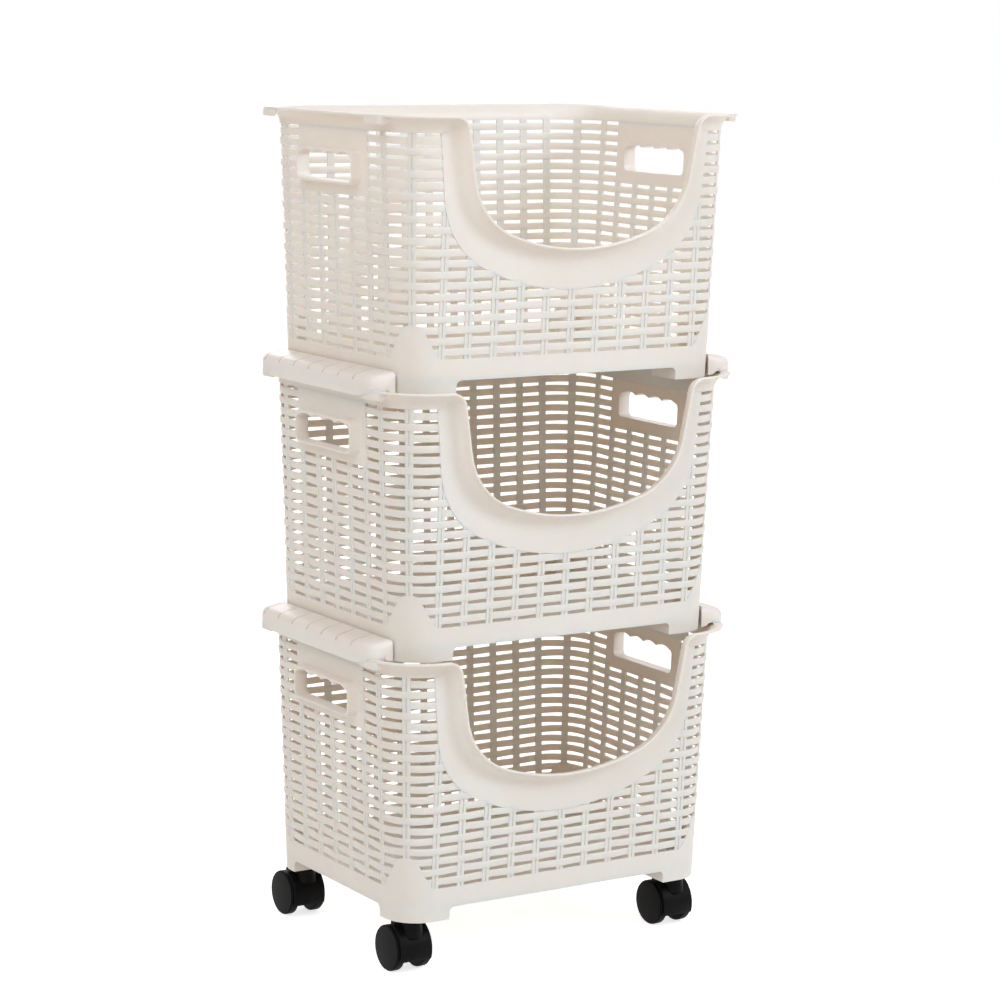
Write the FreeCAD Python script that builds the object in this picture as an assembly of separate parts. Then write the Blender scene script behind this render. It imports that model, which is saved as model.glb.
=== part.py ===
"""Rolling storage cart: three stacked lattice baskets joined by clip-on side pieces, on four swivel casters.

Lengths are in millimetres. X runs from left to right as seen from the front, the front faces -Y and Z is up.
The origin lies on the ground under the middle of the cart. Basket heights are measured above the feet.
"""
import FreeCAD, Part
import math
import os

# Stack
GROUND_TO_FEET = 48.5
TIER_PITCH = 228.0
OVERRUN = 20.0
RUNNING_GAP = 0.3

# Basket body
FEET_HALF_WIDTH = 159.6
FEET_HALF_DEPTH = 115.0
CORNER_RADIUS = 31.0
BASKET_HEIGHT = 231.5
BASKET_WALL = 2.2
LEAN_SHARE = 0.041
RIM_OVERHANG = 13.2
RIM_BEND = 12.0

# Feet and floor
FOOT_HEIGHT = 10.8
FRONT_NOTCH_HALF = 112.5
SIDE_NOTCH_HALF = 77.0
NOTCH_CORNER = 4.5
FLOOR_THICKNESS = 2.2

# Lattice windows
SLOT_PITCH = 9.25
SLOT_HEIGHT = 2.9
FIRST_SLOT = 30.4
SLOT_ROWS = 21
STAKE_WIDTH = 7.0
FRONT_STAKE_PITCH = 25.6
SIDE_STAKE_PITCH = 27.6
FRONT_COLUMNS = 10
SIDE_COLUMNS = 6
LEAST_SLOT = 2.5
BELL_TOP = 57.5
BELL_FOOT = 28.9
BELL_HALF_WIDTH = 26.0

# Front scoop with its flared lip and the plain band round it
SCOOP_BOTTOM = 120.5
SCOOP_FLOOR_RADIUS = 200.0
SCOOP_FLOOR_ANGLE = 20.0
SCOOP_SIDE_ANGLE = 80.5
LIP_LEG = 3.0
BAND_BOTTOM = 84.0
BAND_FLOOR_RADIUS = 205.0
BAND_FLOOR_ANGLE = 26.0
BAND_CORNER_RADIUS = 72.0
BAND_SIDE_ANGLE = 85.0

# Side handles
HANDLE_HALF_LENGTH = 48.6
HANDLE_LOW = 170.9
HANDLE_HIGH = 200.2
HANDLE_STANDOUT = 10.5
HANDLE_WALL = 2.4
HANDLE_CORNER = 5.0
GRIP_ARCS = 4
GRIP_DROP = 2.6
PLAIN_COLUMNS = 4

# Lugs under the side rims
LUG_NEAR = 77.0
LUG_FAR = 102.0
LUG_LOW = 223.5
LUG_WALL = 2.0

# Caster sockets in the basket corners
SOCKET_X = 138.2
SOCKET_Y = 95.4
SOCKET_OUTER_RADIUS = 8.0
SOCKET_BORE_RADIUS = 5.3
SOCKET_TOP = 48.0
SOCKET_DEPTH = 42.0

# Side connectors
CONNECTOR_HALF_LENGTH = 100.0
CONNECTOR_SHIFT = 5.0
CONNECTOR_WALL = 1.6
CONNECTOR_END_RADIUS = 17.0
CONNECTOR_INNER_RADIUS = 4.0
CONNECTOR_SKIRT_LOW = 225.2
CONNECTOR_SHOULDER = 238.0
CONNECTOR_EDGE_RUN = 7.5
CONNECTOR_EDGE_RISE = 5.0
CONNECTOR_CROWN = 246.3
CONNECTOR_END_EASE = 6.0
CONNECTOR_LIFT = 0.8
CONNECTOR_SEAT_DEPTH = 8.0
UPPER_GAP = 1.8
LEDGE_REACH = 5.6
LEDGE_THICKNESS = 2.2
LEG_LOW = 208.0
LEG_THICKNESS = 2.2
RIB_SPACING = 26.0
RIB_SIDE_COUNT = 3
RIB_THICKNESS = 1.4
FIRST_GROOVE = -91.0
GROOVE_SPACING = 26.0
GROOVE_COUNT = 7
GROOVE_WIDTH = 1.0
GROOVE_DEPTH = 0.5
SNAP_NEAR = 32.0
SNAP_FAR = 52.0
SNAP_HEIGHT = 2.0
SNAP_DEPTH = 1.2

# Casters, measured from the stem axis at the height of the basket feet
CASTER_TRAIL = 14.0
WHEEL_RADIUS = 20.2
WHEEL_INNER = 9.3
WHEEL_SHOULDER = 16.7
WHEEL_OUTER = 18.6
WHEEL_EASE = 0.8
WHEEL_GROOVE_DEPTH = 1.4
WHEEL_GROOVE_WIDTH = 0.7
WHEEL_BORE_END = 16.4
AXLE_RADIUS = 2.5
AXLE_END_GAP = 0.5
SHAFT_CLEARANCE = 0.05
FENDER_RADIUS = 23.2
FENDER_THICKNESS = 1.8
FENDER_HALF_WIDTH = 15.6
FENDER_BACK_ANGLE = 105.0
FENDER_LOW = 8.2
CHEEK_HALF_WIDTH = 8.6
CHEEK_BACK = 8.0
NECK_RADIUS = 8.2
STEM_RADIUS = 4.0
STEM_TOP = 37.0
STEM_BOTTOM = 19.0
STEM_END_GAP = 1.0
COLLAR_RADIUS = 6.8
COLLAR_THICKNESS = 1.5
SLEEVE_LOW = 1.0
SLEEVE_TOP = 38.0


def at(x, y, z):
    return FreeCAD.Vector(x, y, z)


def moved(shape, shift):
    copy = shape.copy()
    copy.translate(shift)
    return copy


def block(low, high):
    size = high - low
    return Part.makeBox(size.x, size.y, size.z, low)


def line(start, end):
    return Part.LineSegment(start, end).toShape()


def arc(start, middle, end):
    return Part.Arc(start, middle, end).toShape()


def filled(edges):
    return Part.Face(Part.Wire(edges))


def on_circle(centre, radius, degrees):
    """Point of a circle as a pair, the angle counted from the first axis towards the second."""
    turn = math.radians(degrees)
    return (centre[0] + radius * math.cos(turn), centre[1] + radius * math.sin(turn))


def four_corners(shape):
    """The shape in the +X +Y corner and its mirror images in the other three."""
    across = shape.mirror(at(0, 0, 0), at(1, 0, 0))
    back = [piece.mirror(at(0, 0, 0), at(0, 1, 0)) for piece in (shape, across)]
    return [shape, across] + back


def round_plate(half_x, half_y, radius, low, high):
    """Upright prism with a round-cornered rectangular outline."""
    long_x = block(at(-half_x, radius - half_y, low), at(half_x, half_y - radius, high))
    long_y = block(at(radius - half_x, -half_y, low), at(half_x - radius, half_y, high))
    post = Part.makeCylinder(radius, high - low, at(half_x - radius, half_y - radius, low))
    return long_x.multiFuse([long_y] + four_corners(post)).removeSplitter()


def wall_offset(height):
    """Outer face of the basket wall, outward from the corner axes."""
    return CORNER_RADIUS + LEAN_SHARE * height


def lean_angle():
    return math.atan(LEAN_SHARE)


def corner_x():
    return FEET_HALF_WIDTH - CORNER_RADIUS


def corner_y():
    return FEET_HALF_DEPTH - CORNER_RADIUS


def rim_edge():
    """Outer edge of the rim, outward from the corner axes."""
    return wall_offset(BASKET_HEIGHT) + RIM_OVERHANG


def rim_underside():
    return BASKET_HEIGHT - BASKET_WALL


def bend_pairs(radius):
    """Start, middle and end of the rim bend at a radius, as (offset, height) pairs, from wall to rim."""
    lean = math.degrees(lean_angle())
    centre_height = rim_underside() - RIM_BEND
    tangent_height = centre_height + RIM_BEND * math.sin(lean_angle())
    centre = (wall_offset(tangent_height) + RIM_BEND * math.cos(lean_angle()), centre_height)
    start = 180 - lean
    return [on_circle(centre, radius, turn) for turn in (start, (start + 90) / 2, 90)]


def outer_outline():
    """Outside of the basket from the corner axis outward, with the rim."""
    bend = bend_pairs(RIM_BEND)
    return [
        ("line", (0, 0), (wall_offset(0), 0)),
        ("line", (wall_offset(0), 0), bend[0]),
        ("arc", *bend),
        ("line", bend[2], (rim_edge(), rim_underside())),
        ("line", (rim_edge(), rim_underside()), (rim_edge(), BASKET_HEIGHT)),
        ("line", (rim_edge(), BASKET_HEIGHT), (0, BASKET_HEIGHT)),
        ("line", (0, BASKET_HEIGHT), (0, 0)),
    ]


def inner_outline():
    """Hollow of the basket above its floor."""
    bend = bend_pairs(RIM_BEND + BASKET_WALL)
    floor = FOOT_HEIGHT + FLOOR_THICKNESS
    foot = (wall_offset(floor) - BASKET_WALL / math.cos(lean_angle()), floor)
    above = BASKET_HEIGHT + OVERRUN
    return [
        ("line", (0, floor), foot),
        ("line", foot, bend[0]),
        ("arc", *bend),
        ("line", bend[2], (bend[2][0], above)),
        ("line", (bend[2][0], above), (0, above)),
        ("line", (0, above), (0, floor)),
    ]


def placed(outline, place):
    """Face of an outline whose pairs the place function turns into points in space."""
    makers = {"line": line, "arc": arc}
    return filled([makers[kind](*[place(*pair) for pair in pairs]) for kind, *pairs in outline])


def swept_body(outline):
    """Solid with the outline on all four sides and round the four corners."""
    x, y = corner_x(), corner_y()
    heights = [pair[1] for _, *pairs in outline for pair in pairs]
    pieces = [block(at(-x, -y, min(heights)), at(x, y, max(heights)))]
    for side in (-1, 1):
        face = placed(outline, lambda offset, height: at(-x, side * (y + offset), height))
        pieces.append(face.extrude(at(2 * x, 0, 0)))
        face = placed(outline, lambda offset, height: at(side * (x + offset), -y, height))
        pieces.append(face.extrude(at(0, 2 * y, 0)))
    face = placed(outline, lambda offset, height: at(x + offset, y, height))
    pieces += four_corners(face.revolve(at(x, y, 0), at(0, 0, 1), 90))
    return pieces[0].multiFuse(pieces[1:]).removeSplitter()


def notch(half_length):
    """Prism for the raised bottom edge between two feet, open downward, along Y."""
    side = half_length - NOTCH_CORNER
    centre = (side, FOOT_HEIGHT - NOTCH_CORNER)
    round_end = [on_circle(centre, NOTCH_CORNER, turn) for turn in (0, 45, 90)]
    right = [at(x, -FEET_HALF_WIDTH - OVERRUN, z) for x, z in round_end]
    left = [at(-point.x, point.y, point.z) for point in right]
    low_right = at(half_length, right[0].y, -OVERRUN)
    low_left = at(-half_length, right[0].y, -OVERRUN)
    edges = [
        line(low_left, low_right),
        line(low_right, right[0]),
        arc(*right),
        line(right[2], left[2]),
        arc(left[2], left[1], left[0]),
        line(left[0], low_left),
    ]
    return filled(edges).extrude(at(0, -2 * right[0].y, 0))


def notches():
    along_x = notch(SIDE_NOTCH_HALF)
    along_x.rotate(at(0, 0, 0), at(0, 0, 1), 90)
    return [notch(FRONT_NOTCH_HALF), along_x]


def foot_hollow():
    """Space inside the feet, below the floor."""
    inset = BASKET_WALL
    return round_plate(FEET_HALF_WIDTH - inset, FEET_HALF_DEPTH - inset, CORNER_RADIUS - inset,
                       -OVERRUN, FOOT_HEIGHT)


def foot_webs():
    """Inner walls that close each foot towards the notches."""
    top = FOOT_HEIGHT + FLOOR_THICKNESS / 2
    near = at(FRONT_NOTCH_HALF, SIDE_NOTCH_HALF, 0)
    across = block(near, at(FRONT_NOTCH_HALF + BASKET_WALL, FEET_HALF_DEPTH - BASKET_WALL / 2, top))
    along = block(near, at(FEET_HALF_WIDTH - BASKET_WALL / 2, SIDE_NOTCH_HALF + BASKET_WALL, top))
    return four_corners(across) + four_corners(along)


def sockets():
    return four_corners(Part.makeCylinder(SOCKET_OUTER_RADIUS, SOCKET_TOP, at(SOCKET_X, SOCKET_Y, 0)))


def socket_bores():
    length = SOCKET_DEPTH + OVERRUN
    return four_corners(Part.makeCylinder(SOCKET_BORE_RADIUS, length, at(SOCKET_X, SOCKET_Y, -OVERRUN)))


def lugs():
    """Short plates under the side rims, each closed by a web at its outer end."""
    top = rim_underside() + BASKET_WALL / 2
    edge = rim_edge()
    inside = edge - LUG_WALL
    outer = round_plate(corner_x() + edge, corner_y() + edge, edge, LUG_LOW, top)
    inner = round_plate(corner_x() + inside, corner_y() + inside, inside, LUG_LOW, top)
    plate = block(at(corner_x(), LUG_NEAR, LUG_LOW), at(corner_x() + edge, LUG_FAR, top))
    web = block(at(corner_x() + CORNER_RADIUS, LUG_FAR - LUG_WALL, LUG_LOW),
                at(corner_x() + edge, LUG_FAR, top))
    return four_corners(plate.common(outer.cut(inner))) + four_corners(web.common(outer))


def handle_frames():
    """Both grip frames as one bar through the basket, hollowed with the basket itself."""
    reach = FEET_HALF_WIDTH + LEAN_SHARE * HANDLE_LOW + HANDLE_STANDOUT
    corner = HANDLE_CORNER
    bar = block(at(-reach, -HANDLE_HALF_LENGTH, HANDLE_LOW), at(reach, HANDLE_HALF_LENGTH, HANDLE_HIGH))
    along = [edge for edge in bar.Edges if abs(edge.tangentAt(edge.FirstParameter).x) > 1 - corner / reach]
    return bar.makeFillet(corner, along)


def handle_hole():
    """Grip opening through both sides, its top edge in shallow finger arcs."""
    reach = FEET_HALF_WIDTH + OVERRUN + HANDLE_STANDOUT
    half = HANDLE_HALF_LENGTH - HANDLE_WALL
    low = HANDLE_LOW + HANDLE_WALL
    crest = HANDLE_HIGH - HANDLE_WALL
    ridge = crest - GRIP_DROP
    corner = HANDLE_CORNER - HANDLE_WALL
    edges = []
    span = 2 * half / GRIP_ARCS
    for index in range(GRIP_ARCS):
        start = -half + index * span
        places = ((start, ridge), (start + span / 2, crest), (start + span, ridge))
        edges.append(arc(*[at(-reach, y, z) for y, z in places]))
    right = [at(-reach, y, z) for y, z in
             [on_circle((half - corner, low + corner), corner, turn) for turn in (0, -45, -90)]]
    left = [at(point.x, -point.y, point.z) for point in reversed(right)]
    edges.append(line(at(-reach, half, ridge), right[0]))
    edges.append(arc(*right))
    edges.append(line(right[2], left[0]))
    edges.append(arc(*left))
    edges.append(line(left[2], at(-reach, -half, ridge)))
    return filled(edges).extrude(at(2 * reach, 0, 0))


def lip_outline():
    """Section of the scoop lip as (distance beyond the wall, outward reach) pairs, the rim's own bend."""
    lean = lean_angle()

    def turned(pair):
        offset = pair[0] - wall_offset(0)
        along = offset * math.sin(lean) + pair[1] * math.cos(lean)
        return (along - wall_top(), offset * math.cos(lean) - pair[1] * math.sin(lean))

    outer = [turned(pair) for pair in bend_pairs(RIM_BEND)]
    inner = [turned(pair) for pair in bend_pairs(RIM_BEND + BASKET_WALL)]
    under_edge = turned((rim_edge(), rim_underside()))
    top_edge = turned((rim_edge(), BASKET_HEIGHT))
    return outer, inner, under_edge, top_edge


def wall_top():
    """Length of the leaning wall from the foot to the start of the rim bend."""
    offset, height = bend_pairs(RIM_BEND)[0]
    return (offset - wall_offset(0)) * math.sin(lean_angle()) + height * math.cos(lean_angle())


def lip_face(place, leg):
    """Face of the lip section, with a leg of the given length lying in the wall."""
    outer, inner, under_edge, top_edge = lip_outline()
    start = [line(place(inner[0]), place(outer[0]))]
    if leg:
        low_inner = (-leg, inner[0][1])
        low_outer = (-leg, outer[0][1])
        start = [
            line(place(inner[0]), place(low_inner)),
            line(place(low_inner), place(low_outer)),
            line(place(low_outer), place(outer[0])),
        ]
    edges = start + [
        arc(*[place(pair) for pair in outer]),
        line(place(outer[2]), place(under_edge)),
        line(place(under_edge), place(top_edge)),
        line(place(top_edge), place(inner[2])),
        arc(*[place(pair) for pair in reversed(inner)]),
    ]
    return filled(edges)


def scoop_route():
    """Right half of the curve where the wall meets the lip, bottom to top, in the plane of the front wall.

    The side is a straight line up to the rim's corner, and a rounding joins it to the shallow floor arc.
    """
    flare = lip_outline()[3][0]
    floor_radius = SCOOP_FLOOR_RADIUS + flare
    bottom = SCOOP_BOTTOM / math.cos(lean_angle()) - flare
    floor_centre = (0, bottom + floor_radius)
    floor_end = on_circle(floor_centre, floor_radius, SCOOP_FLOOR_ANGLE - 90)
    top = (corner_x(), wall_top())
    floor_turn, side_turn = math.radians(SCOOP_FLOOR_ANGLE), math.radians(SCOOP_SIDE_ANGLE)
    across, up = top[0] - floor_end[0], top[1] - floor_end[1]
    tangent = (across * math.sin(side_turn) - up * math.cos(side_turn)) / math.sin(side_turn - floor_turn)
    crossing = on_circle(floor_end, tangent, SCOOP_FLOOR_ANGLE)
    corner_end = on_circle(crossing, tangent, SCOOP_SIDE_ANGLE)
    corner_radius = tangent / math.tan((side_turn - floor_turn) / 2)
    corner_centre = on_circle(floor_end, corner_radius, SCOOP_FLOOR_ANGLE + 90)
    return floor_centre, floor_end, corner_centre, corner_end, top


def on_front(shape):
    """Lean an upright shape back onto the front wall."""
    shape.rotate(at(0, 0, 0), at(1, 0, 0), math.degrees(lean_angle()))
    shape.translate(at(0, -FEET_HALF_DEPTH, 0))
    return shape


def lip_half():
    """Right half of the flared lip, in pieces that meet face to face."""
    floor_centre, floor_end, corner_centre, corner_end, top = scoop_route()

    def station(point, angle):
        sine, cosine = math.sin(math.radians(angle)), math.cos(math.radians(angle))
        return lambda pair: at(point[0] - pair[0] * sine, -pair[1], point[1] + pair[0] * cosine)

    across = at(0, -1, 0)
    corner_turn = SCOOP_SIDE_ANGLE - SCOOP_FLOOR_ANGLE
    floor_start = (0, floor_centre[1] - math.dist(floor_centre, floor_end))
    bottom = lip_face(station(floor_start, 0), LIP_LEG)
    corner = lip_face(station(floor_end, SCOOP_FLOOR_ANGLE), LIP_LEG)
    side = lip_face(station(corner_end, SCOOP_SIDE_ANGLE), LIP_LEG)
    horn = lip_face(station(top, 0), 0)
    return [
        bottom.revolve(at(floor_centre[0], 0, floor_centre[1]), across, SCOOP_FLOOR_ANGLE),
        corner.revolve(at(corner_centre[0], 0, corner_centre[1]), across, corner_turn),
        side.extrude(at(top[0] - corner_end[0], 0, top[1] - corner_end[1])),
        horn.revolve(at(top[0], 0, top[1]), across, SCOOP_SIDE_ANGLE),
    ]


def lip():
    right = [on_front(piece) for piece in lip_half()]
    left = [piece.mirror(at(0, 0, 0), at(1, 0, 0)) for piece in right]
    return right[0].multiFuse(right[1:] + left)


def scoop_opening():
    """Prism through the front wall and rim, inside the lip."""
    floor_centre, floor_end, corner_centre, corner_end, top = scoop_route()
    floor_radius = math.dist(floor_centre, floor_end)
    corner_radius = math.dist(corner_centre, corner_end)
    middle = (SCOOP_FLOOR_ANGLE + SCOOP_SIDE_ANGLE) / 2 - 90
    high = top[1] + RIM_BEND + OVERRUN

    def place(pair, side=1):
        return at(side * pair[0], OVERRUN, pair[1])

    edges = [arc(place(floor_end, -1), place((0, floor_centre[1] - floor_radius)), place(floor_end))]
    for side in (-1, 1):
        bend = on_circle(corner_centre, corner_radius, middle)
        edges.append(arc(place(floor_end, side), place(bend, side), place(corner_end, side)))
        edges.append(line(place(corner_end, side), place(top, side)))
        edges.append(line(place(top, side), place((top[0], high), side)))
    edges.append(line(place((top[0], high), -1), place((top[0], high))))
    face = filled(Part.__sortEdges__(edges))
    return on_front(face.extrude(at(0, -2 * OVERRUN - RIM_OVERHANG, 0)))


def band_half_width(height):
    """Half the width of the plain band round the scoop, at a height."""
    if height < BAND_BOTTOM:
        return 0
    floor_centre = (0, BAND_BOTTOM + BAND_FLOOR_RADIUS)
    floor_end = on_circle(floor_centre, BAND_FLOOR_RADIUS, BAND_FLOOR_ANGLE - 90)
    if height < floor_end[1]:
        return math.sqrt(BAND_FLOOR_RADIUS ** 2 - (floor_centre[1] - height) ** 2)
    corner_centre = on_circle(floor_end, BAND_CORNER_RADIUS, BAND_FLOOR_ANGLE + 90)
    corner_end = on_circle(corner_centre, BAND_CORNER_RADIUS, BAND_SIDE_ANGLE - 90)
    if height < corner_end[1]:
        return corner_centre[0] + math.sqrt(BAND_CORNER_RADIUS ** 2 - (corner_centre[1] - height) ** 2)
    return corner_end[0] + (height - corner_end[1]) / math.tan(math.radians(BAND_SIDE_ANGLE))


def bell_half_width(height):
    """Half the width of the plain bell over each foot, round the corner."""
    if height > BELL_TOP:
        return 0
    return BELL_HALF_WIDTH * (BELL_TOP - height) / (BELL_TOP - BELL_FOOT)


def slot_heights():
    return [FIRST_SLOT + row * SLOT_PITCH for row in range(SLOT_ROWS)]


def columns(pitch, count):
    """Openings between the stakes of one wall, as (left, right) pairs."""
    starts = [(index - count / 2) * pitch + STAKE_WIDTH / 2 for index in range(count)]
    return [(start, start + pitch - STAKE_WIDTH) for start in starts]


def slot(low_x, high_x, low_y, high_y, height):
    half = SLOT_HEIGHT / 2
    return block(at(low_x, low_y, height - half), at(high_x, high_y, height + half))


def front_and_back_slots():
    far = FEET_HALF_DEPTH + OVERRUN
    slots = []
    for height in slot_heights():
        band = band_half_width(height + SLOT_HEIGHT / 2)
        for left, right in columns(FRONT_STAKE_PITCH, FRONT_COLUMNS):
            slots.append(slot(left, right, 0, far, height))
            front_left = max(left, band) if right > 0 else left
            front_right = min(right, -band) if left < 0 else right
            if front_right - front_left > LEAST_SLOT:
                slots.append(slot(front_left, front_right, -far, 0, height))
    return slots


def side_slots():
    far = FEET_HALF_WIDTH + OVERRUN
    spans = columns(SIDE_STAKE_PITCH, SIDE_COLUMNS)
    skipped = (SIDE_COLUMNS - PLAIN_COLUMNS) // 2
    slots = []
    for height in slot_heights():
        beside_handle = height + SLOT_PITCH > HANDLE_LOW
        for index, (low, high) in enumerate(spans):
            if beside_handle and skipped <= index < SIDE_COLUMNS - skipped:
                continue
            slots.append(slot(-far, far, low, high, height))
    return slots


def corner_slots():
    """Two windows in each row of a corner, beside a stake at its middle."""
    slots = []
    for height in slot_heights():
        radius = wall_offset(height) - BASKET_WALL / 2
        outer_end = STAKE_WIDTH / 2
        inner_end = radius * math.pi / 4 - max(STAKE_WIDTH / 2, bell_half_width(height))
        width = inner_end - outer_end
        if width < LEAST_SLOT:
            continue
        reach = RIM_BEND / 2
        window = slot(radius - reach, radius + reach, -width / 2, width / 2, height)
        turn = math.degrees((inner_end + outer_end) / 2 / radius)
        for angle in (turn, 90 - turn):
            piece = window.copy()
            piece.rotate(at(0, 0, 0), at(0, 0, 1), angle)
            piece.translate(at(corner_x(), corner_y(), 0))
            slots += four_corners(piece)
    return slots


def basket():
    """One moulded basket, standing with its feet at height zero."""
    body = swept_body(outer_outline()).multiFuse([handle_frames()] + lugs())
    hollows = [swept_body(inner_outline()), foot_hollow(), scoop_opening(), handle_hole()]
    body = body.cut(hollows).cut(notches())
    body = body.multiFuse([lip()] + foot_webs() + sockets()).removeSplitter()
    body = body.cut(socket_bores())
    for slots in (front_and_back_slots(), side_slots(), corner_slots()):
        body = body.cut(slots)
    return body


def on_side(height):
    """Outer face of a basket's side wall at a height."""
    return corner_x() + wall_offset(height)


def connector_outer():
    """Outer face of the connector skirt, just outside the rim edge."""
    return corner_x() + rim_edge() + RUNNING_GAP + CONNECTOR_WALL


def connector_inner():
    """Inner face of the connector, beside the wall of the basket above."""
    return on_side(CONNECTOR_CROWN - TIER_PITCH) + UPPER_GAP


def connector_shell(inset, low):
    """Body of a connector under its sloping, round-edged top, drawn in all round by an inset.
    It reaches further to the front than to the rear."""
    inner = connector_inner() + inset
    outer = connector_outer() - inset
    shoulder = CONNECTOR_SHOULDER
    edge_run = CONNECTOR_EDGE_RUN - inset / 2
    edge_top = CONNECTOR_SHOULDER + CONNECTOR_EDGE_RISE - inset
    crown = CONNECTOR_CROWN - inset
    half = CONNECTOR_HALF_LENGTH - inset
    middle = math.cos(math.pi / 4)
    corner = [at(outer, -half, shoulder),
              at(outer - edge_run * (1 - middle), -half, shoulder + (edge_top - shoulder) * middle),
              at(outer - edge_run, -half, edge_top)]
    edges = [
        line(at(inner, -half, low), at(outer, -half, low)),
        line(at(outer, -half, low), corner[0]),
        arc(*corner),
        line(corner[2], at(inner, -half, crown)),
        line(at(inner, -half, crown), at(inner, -half, low)),
    ]
    across = filled(edges).extrude(at(0, 2 * half, 0))
    shell = across.common(connector_plan(inner, outer, half, inset)).common(connector_ends(half, inset))
    return moved(shell, at(0, -CONNECTOR_SHIFT, 0))


def connector_plan(inner, outer, half, inset):
    """Upright prism with the connector's outline seen from above."""
    low = CONNECTOR_SKIRT_LOW - OVERRUN
    faces = ((outer, CONNECTOR_END_RADIUS - inset, 1), (inner, CONNECTOR_INNER_RADIUS - inset, -1))
    plan = []
    for side in (-1, 1):
        for face, radius, sign in faces:
            centre = (face - sign * radius, side * (half - radius))
            turns = (90 - sign * 90, side * (90 - sign * 45), side * 90)
            plan.append([at(*on_circle(centre, radius, turn), low) for turn in turns])
    low_outer, low_inner, high_outer, high_inner = plan
    edges = [arc(*corner) for corner in plan]
    edges.append(line(low_outer[0], high_outer[0]))
    edges.append(line(high_outer[2], high_inner[2]))
    edges.append(line(high_inner[0], low_inner[0]))
    edges.append(line(low_inner[2], low_outer[2]))
    return filled(Part.__sortEdges__(edges)).extrude(at(0, 0, CONNECTOR_CROWN - low + OVERRUN))


def connector_ends(half, inset):
    """Prism along X whose upper ends are rounded over."""
    ease = CONNECTOR_END_EASE - inset
    crown = CONNECTOR_CROWN - inset
    low = CONNECTOR_SKIRT_LOW - OVERRUN
    right = [at(0, y, z) for y, z in
             [on_circle((half - ease, crown - ease), ease, turn) for turn in (0, 45, 90)]]
    left = [at(0, -point.y, point.z) for point in reversed(right)]
    edges = [
        line(at(0, -half, low), at(0, half, low)),
        line(at(0, half, low), right[0]),
        arc(*right),
        line(right[2], left[0]),
        arc(*left),
        line(left[2], at(0, -half, low)),
    ]
    return filled(edges).extrude(at(connector_outer() + OVERRUN, 0, 0))


def connector_seat_relief():
    """Space under the connector's ends: they sit on the rim and clear its edge and lugs."""
    far = connector_outer() + OVERRUN
    seat = corner_x() + rim_edge() - CONNECTOR_SEAT_DEPTH
    low = LEG_LOW - OVERRUN
    long = CONNECTOR_HALF_LENGTH + CONNECTOR_SHIFT + OVERRUN
    spaces = []
    for near, distant in ((-long, RUNNING_GAP - LUG_NEAR), (LUG_NEAR - RUNNING_GAP, long)):
        spaces.append(block(at(0, near, low), at(far, distant, BASKET_HEIGHT)))
        spaces.append(block(at(seat, near, low), at(far, distant, BASKET_HEIGHT + CONNECTOR_LIFT)))
    return spaces


def connector_ribs(envelope):
    """Cross ribs that stand on the rim of the basket below."""
    ribs = []
    for index in range(-RIB_SIDE_COUNT, RIB_SIDE_COUNT + 1):
        centre = index * RIB_SPACING
        rib = block(at(connector_inner(), centre - RIB_THICKNESS / 2, BASKET_HEIGHT),
                    at(connector_outer() - CONNECTOR_WALL / 2, centre + RIB_THICKNESS / 2, CONNECTOR_CROWN))
        ribs.append(rib.common(envelope))
    return ribs


def connector_grooves(envelope):
    """Fine grooves across the top, following its slope."""
    lowered = moved(envelope, at(-GROOVE_DEPTH, 0, -GROOVE_DEPTH))
    near = connector_inner() + CONNECTOR_WALL
    far = connector_outer() + OVERRUN
    grooves = []
    for index in range(GROOVE_COUNT):
        low = FIRST_GROOVE + GROOVE_SPACING * index - GROOVE_WIDTH / 2
        cutter = block(at(near, low, CONNECTOR_SHOULDER),
                       at(far, low + GROOVE_WIDTH, CONNECTOR_CROWN + OVERRUN))
        grooves.append(cutter.cut(lowered))
    return grooves


def connector_ledge():
    """Ledge that carries the basket above, on a leg that stands inside the basket below."""
    half = SIDE_NOTCH_HALF - NOTCH_CORNER - RUNNING_GAP
    top = TIER_PITCH + FOOT_HEIGHT
    low = top - LEDGE_THICKNESS
    inner = connector_inner()
    leg_outer = on_side(LEG_LOW) - BASKET_WALL - RUNNING_GAP
    ledge = block(at(inner - LEDGE_REACH, -half, low), at(leg_outer, half, top))
    leg = block(at(leg_outer - LEG_THICKNESS, -half, LEG_LOW), at(leg_outer, half, low))
    wall = block(at(inner, -half, low), at(inner + CONNECTOR_WALL, half, CONNECTOR_SHOULDER))
    return [ledge, leg, wall]


def connector_snaps():
    """Beads inside the skirt that catch under the rim."""
    inner_face = connector_outer() - CONNECTOR_WALL
    top = rim_underside() - RUNNING_GAP
    low = at(inner_face - SNAP_DEPTH, SNAP_NEAR, top - SNAP_HEIGHT)
    bead = block(low, at(inner_face + CONNECTOR_WALL / 2, SNAP_FAR, top))
    return [bead, bead.mirror(at(0, 0, 0), at(0, 1, 0))]


def connector():
    """Right-hand connector between a basket and the one above, measured from the lower basket's feet."""
    envelope = connector_shell(0, CONNECTOR_SKIRT_LOW)
    hollow = connector_shell(CONNECTOR_WALL, CONNECTOR_SKIRT_LOW - OVERRUN)
    far = CONNECTOR_HALF_LENGTH + CONNECTOR_SHIFT
    below_ledge = block(at(0, -far, CONNECTOR_SKIRT_LOW),
                        at(connector_inner() + CONNECTOR_WALL, far, BASKET_HEIGHT))
    shell = envelope.cut([hollow, below_ledge] + connector_seat_relief())
    shell = shell.multiFuse(connector_ribs(envelope) + connector_ledge() + connector_snaps())
    return shell.cut(connector_grooves(envelope) + connector_seat_relief()).removeSplitter()


def cylinder(radius, low, high, centre=(0, 0)):
    return Part.makeCylinder(radius, high - low, at(*centre, low))


def axle_centre():
    return at(0, CASTER_TRAIL, WHEEL_RADIUS - GROUND_TO_FEET)


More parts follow.
